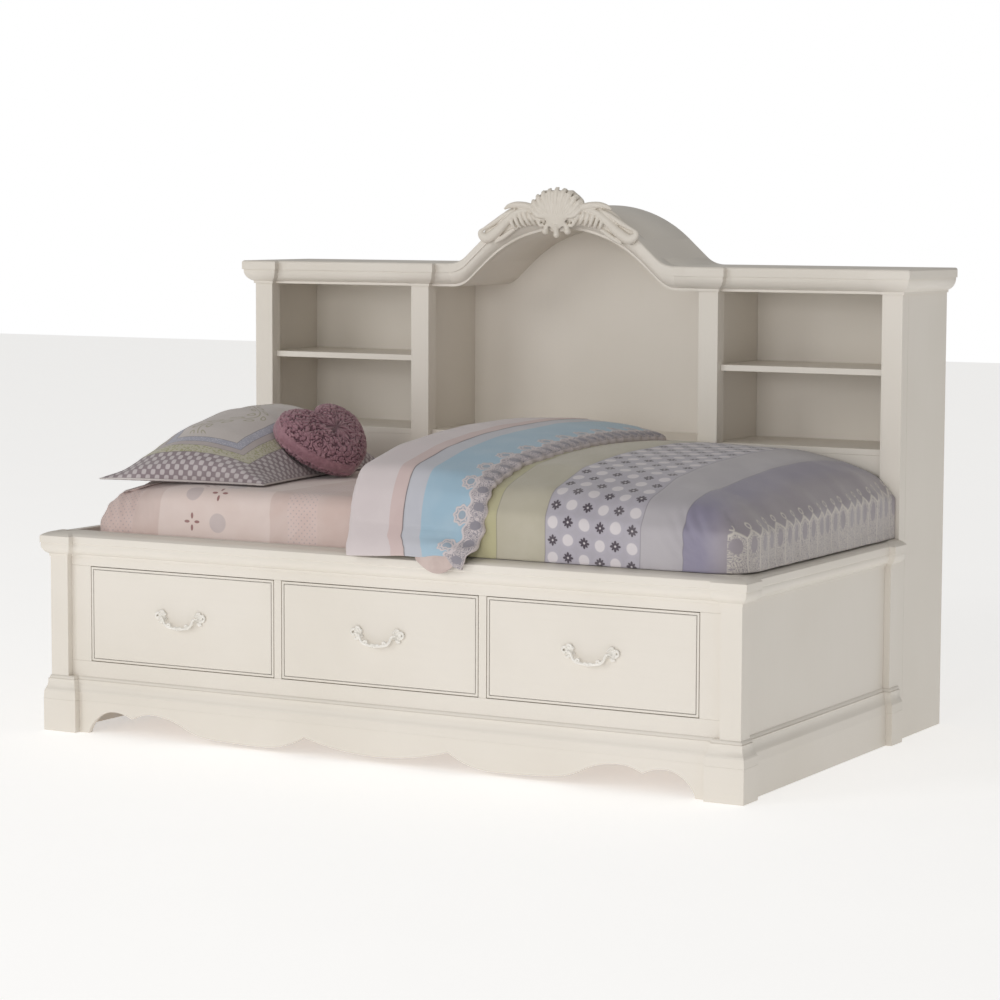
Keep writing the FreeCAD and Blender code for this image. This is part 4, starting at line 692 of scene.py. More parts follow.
def make_mattress():
    """The mattress in its sheet: a soft block with a rolled rim, its cloth creased at the corners."""
    half_x, low_y, high_y, low_z = 0.9525, -0.6015, 0.3585, 0.4905
    corner, rim = 0.06, 0.04
    centre_y, half_y = (low_y + high_y) / 2, (high_y - low_y) / 2
    plan = []
    for quarter, (side_x, side_y) in enumerate(((1, -1), (1, 1), (-1, 1), (-1, -1))):
        start = -pi / 2 + quarter * pi / 2
        for angle in np.linspace(start, start + pi / 2, 14):
            plan.append((side_x * (half_x - corner), side_y * (half_y - corner), cos(angle), sin(angle)))
    plan.append(plan[0])
    steps = 620
    round_it = [0.0]
    for first, second in zip(plan, plan[1:]):
        turn = corner * hypot(first[2] - second[2], first[3] - second[3])
        round_it.append(round_it[-1] + hypot(first[0] - second[0], first[1] - second[1]) + turn)
    at = np.linspace(0.0, round_it[-1], steps + 1)
    base = np.stack([np.interp(at, round_it, [p[k] for p in plan]) for k in range(4)], 1)
    side = [(0.03, 0.0), (0.008, 0.006), (0.0, 0.024)]
    side += [(0.0, up) for up in np.linspace(0.03, MATTRESS_TOP - low_z - rim, 22)]
    for angle in np.linspace(0.1, pi / 2, 12):
        side.append((rim * (1 - cos(angle)), MATTRESS_TOP - low_z - rim * (1 - sin(angle))))
    table = np.empty((len(side), steps + 1, 3))
    to_corner = np.hypot(np.abs(base[:, 0]) - half_x + corner, np.abs(base[:, 1]) - half_y + corner)
    drawn_in = 0.05 * bell(to_corner, 0.0, 0.16)
    for row, (inset, up) in enumerate(side):
        high = smoothstep(up, 0.08, MATTRESS_TOP - low_z)
        table[row, :, 0] = base[:, 0] + base[:, 2] * (corner - inset - drawn_in * high)
        table[row, :, 1] = centre_y + base[:, 1] + base[:, 3] * (corner - inset - drawn_in * high)
        table[row, :, 2] = low_z + up - drawn_in * high ** 3 * 0.5
    normal = outward(table, True)
    x, y, z = (table[..., k] for k in range(3))
    tall = np.sin(np.clip((z - low_z) / (MATTRESS_TOP - low_z), 0, 1) * pi) ** 0.5
    near_corner = bell(np.abs(x), 0.86, 0.1) * (y < -0.5)
    slant = np.sin((x * 150 + (z - low_z) * 55) + ripple(table * (1, 1, 0.3), 9.0, 3) * 2.5)
    crease = np.clip(slant, -0.2, 1.0) * near_corner * 0.0045
    under_fold = bell(x, -0.3, 0.11) * (y < -0.5)
    drawn = np.sin((x * 120 - (z - low_z) * 85) + ripple(table, 7.0, 5) * 2.0)
    crease += np.clip(drawn, -0.2, 1.0) * under_fold * 0.003
    loose = ripple(table * (1.0, 1.0, 0.45), 11.0, 8) * 0.0018
    table += normal * ((crease + loose) * tall)[..., None]
    height = walk(np.array(side)) + low_z
    flat = np.stack([x, np.repeat(height[:, None], steps + 1, 1)], 2)
    inner = table[-1]
    rings, flats = [table], [flat]
    for share in np.linspace(0.06, 1.0, 34):
        target = np.stack([inner[:, 0], np.full(steps + 1, centre_y), np.full(steps + 1, MATTRESS_TOP)], 1)
        target[:, 0] = np.clip(inner[:, 0], -half_x + 0.45, half_x - 0.45)
        ring = inner + (target - inner) * share
        ring[:, 2] = MATTRESS_TOP + (inner[:, 2] - MATTRESS_TOP) * (1 - min(share * 4, 1.0)) ** 2
        rings.append(ring[None])
        flats.append(np.stack([ring[:, 0], height[-1] + ring[:, 1] - inner[:, 1].min()], 1)[None])
    whole, places = np.concatenate(rings), np.concatenate(flats)
    whole[len(side):, :, 2] += ripple(whole[len(side):], 5.0, 9) * 0.0015 - 0.001
    made = grid_piece("fitted_sheet_mattress", whole, sheet_cloth(), {"flat": places}, True)
    settle(made, "bed", "fitted_sheet", "mattress")


FRONT_ROLL = behind(0.255)
FOOT_ROLL = 0.76
COVER_BACK = 0.3585
COVER_HEM = 0.5605
FRONT_SHOULDER = [(0.0, 0.0), (0.166, 0.046), (0.204, 0.104)]
FOOT_SHOULDER = [(0.0, 0.0), (0.125, 0.026), (0.225, 0.06), (0.274, 0.116)]


def cover_roof(x, y):
    """Height of the duvet's top, between its shoulders."""
    front = np.interp(x, [0.0, 0.43, 0.76], [0.772, 0.783, 0.768])
    back = np.interp(x, [0.0, 0.43, 0.76], [0.776, 0.794, 0.784])
    share = (y - FRONT_ROLL) / (COVER_BACK - FRONT_ROLL)
    return front + (back - front) * share + 0.021 * 4 * share * (1 - share)


def shoulder(kind, way):
    """How far out and down a shoulder is: way runs 0 to 1 over it, 1 to 2 down the upright below."""
    line = rounded_profile(kind, 0.018, 60)
    steps = np.linspace(0.0, 1.0, 60)
    over = np.clip(way, 0.0, 1.0)
    return np.interp(over, steps, line[:, 0]), np.interp(over, steps, line[:, 1])


def cover_table():
    """The duvet's outer side as a table: rows from the back to the front hem, columns to the foot."""
    roof_x = np.linspace(-0.03, FOOT_ROLL, 118)
    roof_y = np.linspace(COVER_BACK, FRONT_ROLL, 112)
    foot_way = np.r_[np.linspace(0, 1, 46)[1:], np.linspace(1, 2, 18)[1:]]
    front_way = np.r_[np.linspace(0, 1, 38)[1:], np.linspace(1, 2, 20)[1:]]
    across = np.r_[roof_x, np.full(len(foot_way), FOOT_ROLL)]
    along = np.r_[roof_y, np.full(len(front_way), FRONT_ROLL)]
    way_x = np.r_[np.zeros(len(roof_x)), foot_way][None, :] + 0 * along[:, None]
    way_y = np.r_[np.zeros(len(roof_y)), front_way][:, None] + 0 * across[None, :]
    x, y = across[None, :] + 0 * way_x, along[:, None] + 0 * way_x
    most, least = np.maximum(way_x, way_y), np.minimum(way_x, way_y)
    share = np.where(most > 0, least / np.maximum(most, 1e-9), 0.0) * pi / 4
    angle = np.where(way_x > way_y, pi / 2 - share, share)
    power = 2.2 + 4.8 * smoothstep(most, 0.1, 1.3)
    squared = (np.abs(np.sin(angle)) ** power + np.abs(np.cos(angle)) ** power) ** (-1 / power)
    out_x, drop_x = shoulder(FOOT_SHOULDER, most)
    out_y, drop_y = shoulder(FRONT_SHOULDER, most)
    to_foot = np.sin(angle) ** 2
    roof = cover_roof(x, y)
    brow = roof - drop_y * (1 - to_foot) - drop_x * to_foot
    wall = np.clip(most - 1, 0, 1)
    table = np.empty((*most.shape, 3))
    table[..., 0] = x + out_x * squared * np.sin(angle)
    table[..., 1] = y - out_y * squared * np.cos(angle)
    table[..., 2] = brow + (COVER_HEM - brow) * wall
    return soften(table, 5), way_x, way_y


def flat_walk(table, axis):
    """Distance walked over the cloth along one axis of its table."""
    steps = np.linalg.norm(np.diff(table, axis=axis), axis=2)
    return np.concatenate([np.zeros_like(np.take(steps, [0], axis)), np.cumsum(steps, axis)], axis)


def make_duvet():
    """The duvet laid over the mattress, its front and foot hanging inside the cap moulding."""
    table, way_x, way_y = cover_table()
    normal = outward(table)
    x, y, z = (table[..., k] for k in range(3))
    front = smoothstep(way_y, 0.3, 1.0) * (way_x < way_y)
    foot = smoothstep(way_x, 0.3, 1.0) * (way_x >= way_y)
    soft = ripple(table, 3.2, 1) * 0.0045 + ripple(table, 9.0, 2) * 0.0016
    upright = np.sin(x * 46 + ripple(table * (1, 1, 0.3), 5.0, 4) * 3) * front * 0.0022
    swell = np.sin(y * 34 + ripple(table * (1, 1, 0.4), 6.0, 6) * 3) * foot * 0.003
    corner = bell(x, 0.9, 0.05) * smoothstep(way_y, 0.55, 0.95) * (1 - smoothstep(way_y, 1.5, 1.9))
    drawn = np.sin((x + z * 0.75) * 175 + ripple(table, 8.0, 7) * 1.5) * corner * 0.0024
    hold = 1 - smoothstep(np.maximum(way_x, way_y), 1.75, 2.0)
    back = smoothstep(COVER_BACK - y, 0.0, 0.03)
    table += normal * ((soft + upright + swell + drawn) * hold * back)[..., None]
    seam = np.zeros_like(x)
    for edge in STRIPE_EDGES:
        seam -= 0.0016 * bell(x, edge, 0.006)
    table += normal * (seam * (way_x < 0.4) * hold)[..., None]
    flat = np.stack([x, flat_walk(table, 0)], 2)
    lace = np.stack([table[..., 1] - PLINTH_FRONT - 0.05, table[..., 2] - COVER_HEM], 2)
    made = grid_piece("duvet", table, duvet_cloth(), {"flat": flat, "foot": lace})
    thicken(made, 0.006)
    settle(made, "bed", "duvet_cotton", "duvet")


make_mattress()
make_duvet()


FOLD_LINE = [(-0.6905, 0.53), (-0.6905, 0.572), (-0.6455, 0.724), (-0.6075, 0.782), (-0.4415, 0.822)]


def fold_rows():
    """The fold's outer line from its hem over the shoulder to the back, as (y, z), and the way in."""
    share = np.linspace(0.0, 1.0, 40)[1:]
    start_y, start_z = FOLD_LINE[-1]
    top = [
        (start_y + (COVER_BACK - start_y) * s, start_z + (0.848 - start_z) * s + 0.022 * 4 * s * (1 - s))
        for s in share
    ]
    line = rounded_profile(FOLD_LINE + top, 0.016, 190)
    line[:, 0] = np.minimum(line[:, 0], COVER_BACK)
    way = np.gradient(line, axis=0)
    way /= np.linalg.norm(way, axis=1, keepdims=True)
    return line, np.stack([way[:, 1], -way[:, 0]], 1)


def make_foldback():
    """The turned-back corner of the duvet: rolled at its left, laid down to its lace hem."""
    line, inward = fold_rows()
    walked = walk(line)
    left_x = np.interp(line[:, 1], [0.543, 0.6, 0.68, 0.79, 0.82], [-0.071, -0.079, -0.086, -0.086, -0.081])
    front_x = np.interp(line[:, 1], [0.53, 0.554, 0.604, 0.64, 0.727], [0.268, 0.286, 0.3124, 0.318, 0.323])
    top_x = np.interp(line[:, 0], [-0.6, -0.48, -0.326, -0.078, 0.3585], [0.323, 0.322, 0.342, 0.347, 0.352])
    hem_x = np.where(line[:, 0] < -0.625, front_x, top_x)
    hem_x = np.convolve(np.pad(hem_x, 6, "edge"), np.ones(13) / 13, "valid")
    to_bed = np.interp(walked, [0.0, 0.03, 0.09, 0.2, 0.3, 1.24], [0.009, 0.01, 0.07, 0.095, 0.135, 0.15])
    to_cover = np.interp(walked, [0, 0.035, 0.07, 0.13, 0.2, 0.27, 0.44, 1.24],
                         [0.01, 0.01, 0.05, 0.046, 0.038, 0.052, 0.048, 0.06])
    count = 92
    table = np.empty((len(line), count, 3))
    across, from_hem = np.empty((2, len(line), count))
    for row, (y, z) in enumerate(line):
        left, deep, laid = left_x[row], to_bed[row], max(to_cover[row] - 0.03, 0.0)
        edge = hem_x[row]
        near = min(0.018, 0.35 * deep)
        profile = [
            (left + 0.03, deep), (left + 0.01, 0.85 * deep), (left, 0.55 * deep), (left, 2.2 * near),
            (left + 0.004, near), (left + 0.014, 0.35 * near), (left + 0.032, 0.001), (left + 0.07, 0.0),
        ]
        start = profile[-1][0]
        for share in np.linspace(0.0, 1.0, 12)[1:]:
            profile.append((start + (edge - 0.01 - start) * share, laid * share ** 3.0))
        profile += [(edge, laid + 0.006), (edge + 0.002, laid + 0.016), (edge - 0.008, to_cover[row])]
        spots = rounded_profile(profile, 0.006, count)
        steps = walk(spots)
        widest = int(np.argmin(spots[:, 0]))
        across[row] = steps - np.interp(-near, -spots[widest : count // 2, 1], steps[widest : count // 2])
        rim = int(np.argmax(spots[:, 0]))
        from_hem[row] = steps[rim] - steps
        table[row, :, 0] = spots[:, 0]
        table[row, :, 1] = y + inward[row, 0] * spots[:, 1]
        table[row, :, 2] = z + inward[row, 1] * spots[:, 1]
    across = soften(across[..., None], 40)[..., 0]
    from_hem = soften(from_hem[..., None], 40)[..., 0]
    table = soften(table, 3, (0, 0, 0, 0))
    x, z = table[..., 0], table[..., 2]
    hem = np.interp(x, [-0.08, 0.03, 0.1, 0.16, 0.2, 0.235, 0.255, 0.28],
                    [0.55, 0.555, 0.56, 0.559, 0.566, 0.566, 0.54, 0.53])
    low = (z < 0.63) & (walked[:, None] < 0.12)
    table[..., 2] = np.where(low, 0.63 - (0.63 - z) * (0.63 - hem) / (0.63 - 0.53), z)
    normal = outward(table, True)
    free = smoothstep(walked, 0.0, 0.05)[:, None] * (across > 0.0)
    step = 0.0024 * (1 - smoothstep(across, 0.174, 0.18)) * smoothstep(across, -0.02, 0.02)
    pressed = -0.001 * bell(table[..., 2] - 0.64 + 0.05 * x, 0.0, 0.0035)
    soft = ripple(table, 4.0, 11) * 0.0035 + ripple(table, 12.0, 12) * 0.001
    near_hem = bell(from_hem, 0.0, 0.035)
    gather = np.abs(ripple(table, 22.0, 13)) * 0.0045 * near_hem
    puff = np.sin(walked * 126)[:, None] * 0.0032 * near_hem
    table += normal * (step + (pressed + soft + gather + puff) * free)[..., None]
    table[..., 1] = np.minimum(table[..., 1], COVER_BACK)
    turned_in = ((0.011, 0.03), (0.011, 0.005), (0.0085, 0.0), (0.003, 0.0))
    under = [table[0] + (0.0, dy, dz - 0.002) for dy, dz in turned_in]
    whole = np.concatenate([np.array(under), table])
    along = np.repeat(np.r_[-0.03, -0.012, -0.004, -0.001, walked][:, None], count, 1)
    row = np.r_[[0] * len(under), 0 : len(walked)]
    maps = {"flat": np.stack([across[row], along], 2), "hem": np.stack([from_hem[row], along], 2)}
    made = grid_piece("duvet_turned_back", whole, fold_cloth(), maps)
    settle(made, "bed", "foldback_cotton", "duvet_foldback")
    make_lining()


def make_lining():
    """The facing that shows under the hem where the corner curls."""
    graph = Graph("peach_lining")
    x, t = graph.cloth()
    cloud = graph.noise(graph.place(), 26.0, 3.0)
    tone = graph.mix(graph.fade(cloud, 0.35, 0.7), (0.54, 0.43, 0.4), (0.6, 0.49, 0.455))
    material = cotton(graph, tone, x, t, cloud)
    columns, rows = 40, 16
    table = np.empty((rows, columns, 3))
    low, high = 0.553, 0.585
    for j, a in enumerate(np.linspace(0.0, 1.0, columns)):
        bottom = low - 0.034 * sin(pi * a ** 1.1) ** 0.8
        for i, b in enumerate(np.linspace(0.0, 1.0, rows)):
            bulge = sin(pi * min(1.0, b * 1.1)) * 0.004 * sin(pi * a)
            table[i, j] = (0.142 + 0.122 * a, -0.6845 - bulge - 0.001 * b, high + (bottom - high) * b)
    flat = table[..., (0, 2)]
    made = grid_piece("duvet_facing", table, material, {"flat": flat}, True)
    thicken(made, 0.003)
    settle(made, "bed", "foldback_cotton")


HEART_TURN = turned(80, "Z") @ turned(-49, "X") @ turned(-5, "Y")
HEART_PLACE = Matrix.Translation((-0.496, -0.107, 0.793)) @ HEART_TURN


def arc(x, y, radius, start, stop):
    return [(x + radius * cos(angle), y + radius * sin(angle)) for angle in np.linspace(start, stop, 40)]


def heart_line(count):
    """The heart's outline as (x, z), from its notch round by the right."""
    lobe, level, half, tip, reach = 0.085, 0.036, 0.163, -0.124, 0.218
    inner = half - lobe
    notch = level + sqrt(lobe ** 2 - inner ** 2)
    right = arc(inner, level, lobe, atan2(notch - level, -inner), 0.0)
    chord = Vector((-half, tip - level))
    rise = sqrt(reach ** 2 - (chord.length / 2) ** 2)
    aside = Vector((chord.y, -chord.x)).normalized()
    middle = Vector((half, level)) + chord / 2 + aside * rise
    first = atan2(level - middle.y, half - middle.x)
    last = atan2(tip - middle.y, -middle.x)
    right += arc(middle.x, middle.y, reach, first, last)[1:]
    left = [(-x, z) for x, z in reversed(right[1:-1])]
    return rounded_profile(np.array(right + left + [right[0]]), 0.004, count)


def make_heart():
    """The heart cushion: two ruched faces and the smoother band between them."""
    columns, rows = 420, 170
    line = heart_line(columns + 1)
    line[-1] = line[0]
    lean = np.linspace(-pi / 2, pi / 2, rows)
    table = np.empty((rows, columns + 1, 3))
    for row, angle in enumerate(lean):
        size = max(cos(angle), 0.0) ** 0.42
        table[row, :, 0] = line[:, 0] * size
        table[row, :, 1] = 0.057 * sin(angle) * (1.0 - 0.12 * cos(angle))
        table[row, :, 2] = line[:, 1] * size
    normal = outward(table, True)
    normal[:, -1] = normal[:, 0]
    middle = table.mean(axis=(0, 1))
    facing = ((table - middle) * normal).sum(axis=2).mean()
    if facing < 0:
        normal = -normal
    ruched = smoothstep(np.abs(lean), 0.3, 0.42)[:, None]
    worm = np.abs(ripple(table, 62.0, 21, 2))
    worm_2 = np.abs(ripple(table, 105.0, 22, 1))
    groove = bell(worm, 0.0, 0.11) * 0.0062 + bell(worm_2, 0.0, 0.13) * 0.0028
    rim = bell(np.abs(lean), 0.36, 0.04)[:, None] * 0.002
    gather = ripple(table * (1.0, 0.25, 1.0), 60.0, 23) * 0.0009
    table += normal * ((0.003 - groove) * ruched + rim + gather * (1 - ruched) - 0.002)[..., None]
    table[:, -1] = table[:, 0]
    # Painted shade map: the depth of the grooves, which darkens them in the satin.
    shade = np.stack([groove * ruched / 0.0062, np.repeat(lean[:, None], columns + 1, 1)], 2)
    made = grid_piece("heart_cushion_ruched", table, satin_cloth(), {"folds": shade}, True)
    made.data.transform(HEART_PLACE)
    settle(closed(made), "bed", "ruched_satin", "heart_cushion")


def make_pillow():
    """The pillow in its bordered sham: crowned, its sides drawn in, a thin flat edge all round."""
    columns, rows = 120, 170
    a, b = np.meshgrid(np.linspace(0, 1, columns), np.linspace(0, 1, rows))
    left = np.interp(b, [0, 1], [-0.968, -0.952]) + 0.022 * np.sin(pi * b)
    right = np.interp(b, [0, 1], [-0.458, -0.513]) - 0.02 * np.sin(pi * b)
    near = np.interp(a, [0, 1], [0.122, 0.19]) + 0.012 * np.sin(pi * a)
    far = 0.917 - 0.008 * np.sin(pi * a)
    x = left + (right - left) * a
    y = near + (far - near) * b
    rise = np.interp(y, *PILLOW_RISE)
    rise = soften(rise[..., None], 8, (1, 1, 0, 0))[..., 0]
    apex = -0.76
    reach = np.where(x < apex, apex - left, right - apex)
    share = np.clip(np.abs(x - apex) / reach, 0, 1)
    round_off = (reach ** 2 + rise ** 2) / np.maximum(2 * rise, 1e-6)
    crown = np.sqrt(round_off ** 2 - (share * reach) ** 2) - (round_off - rise)
    crown = soften(crown[..., None], 6)[..., 0]
    edge = np.minimum(np.minimum(a, 1 - a) * 0.5, np.minimum(b, 1 - b) * 0.8)
    thin = smoothstep(edge, 0.0, 0.012)
    z = MATTRESS_TOP + 0.006 + 0.004 * thin + crown * smoothstep(edge, 0.0, 0.006)
    table = np.stack([x, behind(y), z], 2)
    normal = outward(table, True)
    soft = ripple(table, 5.0, 31) * 0.005 + ripple(table, 14.0, 32) * 0.0016
    near_edge = 0.003 * bell(edge, 0.0, 0.1)
    pucker = ripple(table * (1.0, 1.0, 0.4), 26.0, 33) * near_edge * smoothstep(edge, 0.0, 0.02)
    table += normal * ((soft + pucker) * thin)[..., None]
    local = HEART_PLACE.inverted()
    shaped = np.array(local.to_3x3()) @ table.reshape(-1, 3).T + np.array(local.translation)[:, None]
    radius = (shaped[0] / 0.172) ** 2 + ((shaped[2] + 0.006) / 0.142) ** 2
    depth = 0.06 * np.sqrt(np.clip(1 - radius, 0, 1)) + 0.003
    inside = (radius < 1) & (shaped[1] < depth)
    shaped[1] = np.where(inside, depth, shaped[1])
    placed = np.array(HEART_PLACE.to_3x3()) @ shaped + np.array(HEART_PLACE.translation)[:, None]
    table = placed.T.reshape(table.shape)
    table[..., 2] = np.maximum(table[..., 2], MATTRESS_TOP + 0.004)
    table = soften(table, 3)
    under = table.copy()
    under[..., 2] = np.minimum(table[..., 2] - 0.002 - 0.002 * thin, MATTRESS_TOP + 0.003)
    under[0], under[-1], under[:, 0], under[:, -1] = table[0], table[-1], table[:, 0], table[:, -1]
    walk_u, walk_v = flat_walk(table, 1), flat_walk(table, 0)
    flat = np.stack([walk_u / walk_u[:, -1:] * PILLOW_WIDTH, walk_v / walk_v[-1:] * PILLOW_LENGTH], 2)
    points = np.concatenate([table.reshape(-1, 3), under.reshape(-1, 3)])
    top = lattice(rows, columns)
    bottom = [tuple(k + rows * columns for k in face[::-1]) for face in top]
    maps = {"flat": np.concatenate([flat, flat])}
    made = piece("bordered_pillow", points, top + bottom, pillow_cloth(), maps)
    settle(closed(made), "bed", "pillow_cotton", "pillow")


make_foldback()
make_heart()
make_pillow()


# --- Carving and pulls ---

# Strokes: how thick for their width, how many sides, then their points in tenths of a millimetre.
TENTHS = 1e4
CREST_SHELL = (0.19, 20, (0, 13850, 60, 240), (0, 14150, 40, 360), (0, 14500, 20, 780), (0, 14750, 0, 800),
               (0, 15030, -20, 460))
CREST_LEAF = [
    (0.9, 12, (220, 14120, 150, 75), (320, 14000, 140, 75), (360, 13860, 130, 85)),
    (0.34, 18, (300, 14240, 10, 260), (900, 14330, 10, 320), (1500, 14200, 0, 320), (2000, 13920, 0, 240),
     (2380, 13700, 0, 160)),
    (0.8, 12, (500, 14380, 110, 80), (900, 14560, 130, 105), (1300, 14610, 120, 100), (1580, 14570, 110, 70),
     (1740, 14490, 100, 30)),
    (0.72, 18, (850, 14480, 120, 50), (1250, 14400, 150, 90), (1580, 14180, 140, 120),
     (1920, 13880, 120, 145), (2260, 13660, 100, 150), (2440, 13690, 100, 130), (2520, 13800, 100, 90),
     (2460, 13900, 100, 50)),
    (0.9, 12, (1350, 14460, 90, 50), (1680, 14330, 120, 75), (2040, 14110, 110, 80), (2340, 13950, 90, 60),
     (2500, 13880, 80, 40)),
    (0.85, 12, (1280, 13980, 60, 40), (1500, 13860, 80, 65), (1780, 13680, 80, 75), (2060, 13520, 70, 45)),
]
CREST_CURL = (0.95, 12, (360, 14200, 130, 60), (500, 14210, 160, 62), (570, 14110, 160, 56),
              (490, 14020, 160, 52), (410, 14070, 170, 48))
PULL_POST = [
    (0.3, 12, (610, 3590, 10, 60), (610, 3420, 10, 125), (610, 3250, 10, 60)),
    (1.0, 12, (610, 3420, 190, 52), (612, 3420, 5, 60)),
]
PULL_SCROLLS = [
    (0.9, 12, (670, 3520, 40, 30), (760, 3510, 40, 34), (800, 3440, 40, 32), (770, 3370, 40, 28),
     (720, 3400, 50, 24)),
    (0.9, 12, (550, 3320, 40, 28), (620, 3250, 40, 34), (710, 3270, 40, 26)),
    (0.9, 12, (500, 3490, 40, 26), (570, 3570, 40, 32), (670, 3570, 40, 24)),
]
PULL_BAIL = [
    (1.0, 12, (550, 3420, 0, 36), (500, 3385, 0, 38), (470, 3310, 0, 40), (415, 3225, 0, 42),
     (330, 3165, 0, 42), (220, 3140, 0, 40), (100, 3118, 0, 36), (0, 3110, 0, 36)),
    (1.0, 12, (360, 3180, 10, 34), (300, 3245, 10, 30), (245, 3225, 10, 26), (265, 3185, 10, 22)),
    (0.9, 12, (0, 3110, 10, 46), (65, 3155, 10, 34), (125, 3165, 10, 14)),
    (1.0, 12, (545, 3420, 0, 23), (650, 3420, 0, 23)),
]


def bend(points, count=16):
    """A soft line through points; further columns, such as a width, run along with it."""
    points = np.asarray(points, float)
    ends = np.vstack([2 * points[0] - points[1], points, 2 * points[-1] - points[-2]])
    out = []
    for k in range(len(points) - 1):
        p0, p1, p2, p3 = ends[k : k + 4]
        for t in np.linspace(0, 1, count, endpoint=k == len(points) - 2):
            out.append(
                0.5 * (2 * p1 + (p2 - p0) * t + (2 * p0 - 5 * p1 + 4 * p2 - p3) * t * t
                       + (3 * p1 - p0 - 3 * p2 + p3) * t ** 3)
            )
    return np.array(out)


def ridge(points, thick=0.8, sides=12):
    """A tapering ridge through (x, z, y, half width) points: its mesh as points and faces."""
    line = bend(points)
    way = np.gradient(line[:, (0, 2, 1)], axis=0)
    way /= np.maximum(np.linalg.norm(way, axis=1, keepdims=True), 1e-9)
    aside = np.cross(way, (0.0, 1.0, 0.0))
    aside /= np.maximum(np.linalg.norm(aside, axis=1, keepdims=True), 1e-9)
    spots, faces = [], []
    for (x, z, y, wide), side in zip(line, aside):
        wide = max(wide, 0.0006)
        for k in range(sides):
            a = 2 * pi * k / sides
            centre = Vector((x, y, z)) + Vector(side) * (wide * cos(a))
            spots.append(centre + Vector((0, sin(a) * wide * thick, 0)))
    rings = len(line)
    for i in range(rings - 1):
        for k in range(sides):
            n = (k + 1) % sides
            faces.append((i * sides + k, i * sides + n, (i + 1) * sides + n, (i + 1) * sides + k))
    faces.append(tuple(range(sides))[::-1])
    faces.append(tuple((rings - 1) * sides + k for k in range(sides)))
    return spots, faces


def stroke(depth, thick, sides, *points):
    """A ridge through (x, z, distance in front of a depth, half width), in tenths of a millimetre."""
    metres = [[value / TENTHS for value in point] for point in points]
    return ridge([(x, z, depth - out, wide) for x, z, out, wide in metres], thick, sides)


def ball(x, z, y, radius):
    """A bead as a short fat ridge."""
    angles = np.linspace(-1.45, 1.45, 9)
    return ridge([(x + radius * sin(a), z, y, radius * cos(a)) for a in angles], 1.0)


def carve(name, parts, material, voxel, smooth):
    """Melt ridges and beads into one carved or cast piece."""
    points, faces = [], []
    for spots, sides in parts:
        faces += [tuple(k + len(points) for k in face) for face in sides]
        points += spots
    made = piece(name, points, faces, material)
    remesh = made.modifiers.new("melt", "REMESH")
    remesh.mode = "VOXEL"
    remesh.voxel_size = voxel
    remesh.use_smooth_shade = True
    made.modifiers.new("ease", "SMOOTH").iterations = smooth
    shaped = made.evaluated_get(bpy.context.evaluated_depsgraph_get())
    made.data = bpy.data.meshes.new_from_object(shaped)
    made.modifiers.clear()
    made.data.materials.clear()
    made.data.materials.append(material)
    return made


def both_sides(parts):
    """The parts and their mirror across the middle."""
    out = list(parts)
    for spots, faces in parts:
        out.append(([Vector((-p[0], p[1], p[2])) for p in spots], [face[::-1] for face in faces]))
    return out


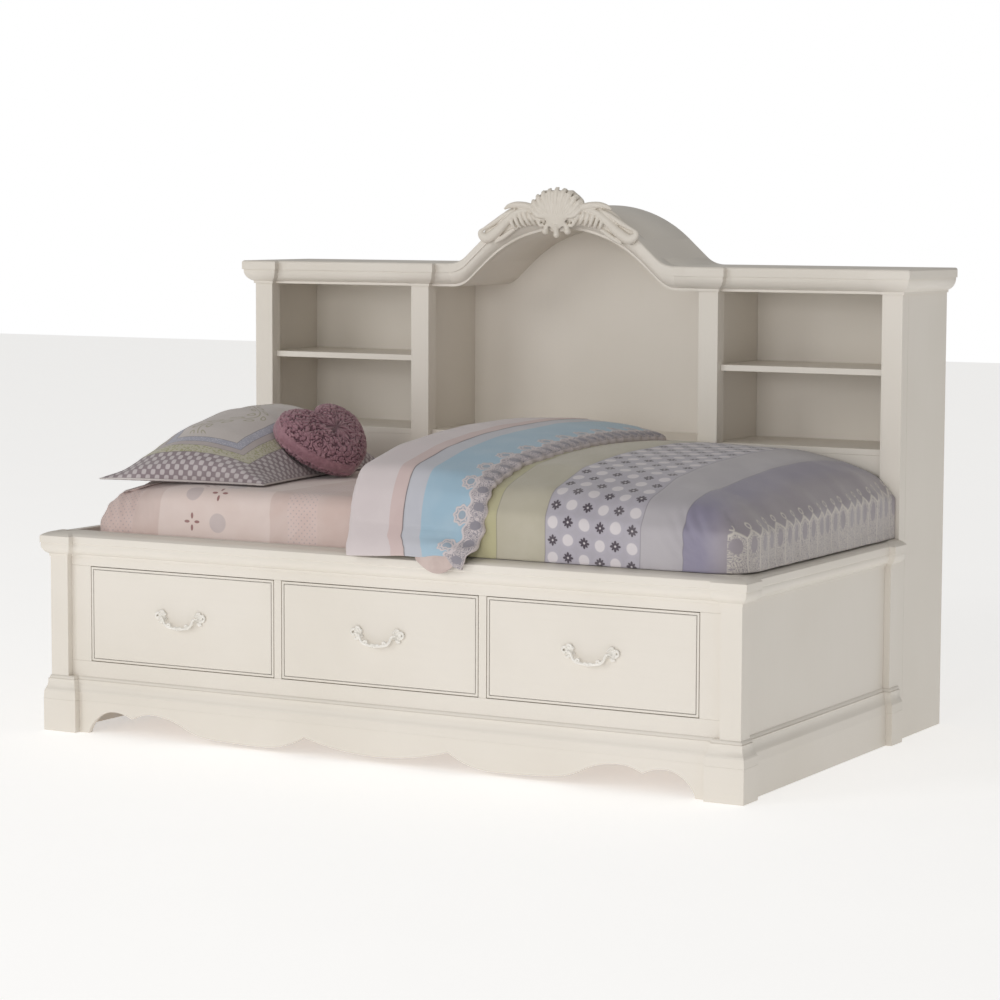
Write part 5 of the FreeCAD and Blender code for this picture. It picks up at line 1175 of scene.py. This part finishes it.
def make_crest():
    """The carved crest: a ribbed shell over two leaves that end in scrolls."""
    front = RECESS - 0.03
    middle, sides = [], []
    tips = [(0.0, 1.517), (0.026, 1.513), (0.049, 1.505), (0.069, 1.492), (0.084, 1.475), (0.093, 1.455)]
    for index, (tip_x, tip_z) in enumerate(tips):
        foot = 0.0052 * index
        rib = [
            (foot, 1.388 + 0.003 * index, front - 0.018, 0.0034),
            (foot * 1.15, 1.414 + 0.002 * index, front - 0.0225, 0.0042),
            (tip_x * 0.5 + foot * 0.5, 1.404 + (tip_z - 1.404) * 0.52, front - 0.0225, 0.006),
            (tip_x * 0.86, tip_z - 0.02 + 0.003 * index, front - 0.0165, 0.0082),
            (tip_x, tip_z - 0.005, front - 0.008, 0.006),
        ]
        (sides if index else middle).append(ridge(rib))
        if index:
            last_x, last_z = tips[index - 1]
            half_z = (tip_z + last_z) / 2
            between = [
                ((foot * 1.15 + (foot - 0.0052) * 1.15) / 2, 1.414, front - 0.0205, 0.0016),
                ((tip_x + last_x) * 0.25 + foot * 0.5, 1.404 + (half_z - 1.404) * 0.52, front - 0.0245,
                 0.0022),
                ((tip_x + last_x) * 0.45, half_z - 0.014, front - 0.018, 0.0026),
            ]
            sides.append(ridge(between))
    middle.append(stroke(front, *CREST_SHELL))
    middle.append(ball(0.0, 1.376, front - 0.013, 0.01))
    middle.append(stroke(front, 0.8, 12, (0, 14040, 200, 100), (0, 13760, 130, 85)))
    sides.append(ball(0.036, 1.386, front - 0.013, 0.0105))
    sides += [stroke(front, *row) for row in CREST_LEAF]
    for t in np.arange(7) / 6:
        head_x, head_z = 0.05 + 0.094 * t, 1.444 - 0.006 * t + 0.006 * sin(pi * t)
        foot_x, foot_z = 0.044 + 0.094 * t, 1.408 - 0.018 * t ** 1.4
        comma = [(head_x, head_z, front - 0.01, 0.0036),
                 (head_x + 0.006, head_z - 0.013, front - 0.016, 0.0066),
                 (foot_x + 0.004, foot_z + 0.012, front - 0.015, 0.0058),
                 (foot_x - 0.006, foot_z, front - 0.009, 0.0028)]
        sides.append(ridge(comma, 0.9))
    sides.append(stroke(front, *CREST_CURL))
    material = paint("paint_carved", (0.8, 0.752, 0.685), (0.7, 0.645, 0.565), (60.0, 60.0, 60.0))
    made = carve("carved_crest_shell_and_leaves", middle + both_sides(sides), material, 0.0016, 2)
    settle(made, "bed", "painted_wood", "carved_crest")


def make_pulls():
    """The three pulls: scrolled rosettes on the fronts and a swan-necked bail between them."""
    face, pivot = -0.637, -0.637 - 0.016
    plates = [stroke(face, *row) for row in PULL_POST]
    for point in range(6):
        turn = pi * (point / 3 + 1 / 6)
        reach = 0.0128 if point % 3 else 0.015
        plates.append(ball(0.061 + reach * cos(turn), 0.342 + reach * sin(turn), face - 0.0025, 0.0046))
    plates += [stroke(face, *row) for row in PULL_SCROLLS]
    bail = both_sides([stroke(pivot, *row) for row in PULL_BAIL]) + [ball(0.0, 0.3125, pivot - 0.001, 0.0062)]
    material = enamel("white_enamel")
    rosettes = carve("pull_rosettes", both_sides(plates), material, 0.0009, 3)
    bail = carve("pull_bail", bail, material, 0.0009, 3)
    for number in (1, 2, 3):
        shift = Matrix.Translation(((number - 2) * DRAWER_STEP, 0, 0))
        for made, body, node in ((rosettes, "", "pull_plates"), (bail, "_handle", "bail")):
            mesh = made.data.copy()
            mesh.transform(shift)
            copy = new_object(f"{made.name}_{number}", mesh)
            settle(copy, f"drawer_{number}{body}", "white_pull_metal", f"drawer_{number}_{node}")
    for made in (rosettes, bail):
        bpy.data.objects.remove(made)


make_crest()
make_pulls()
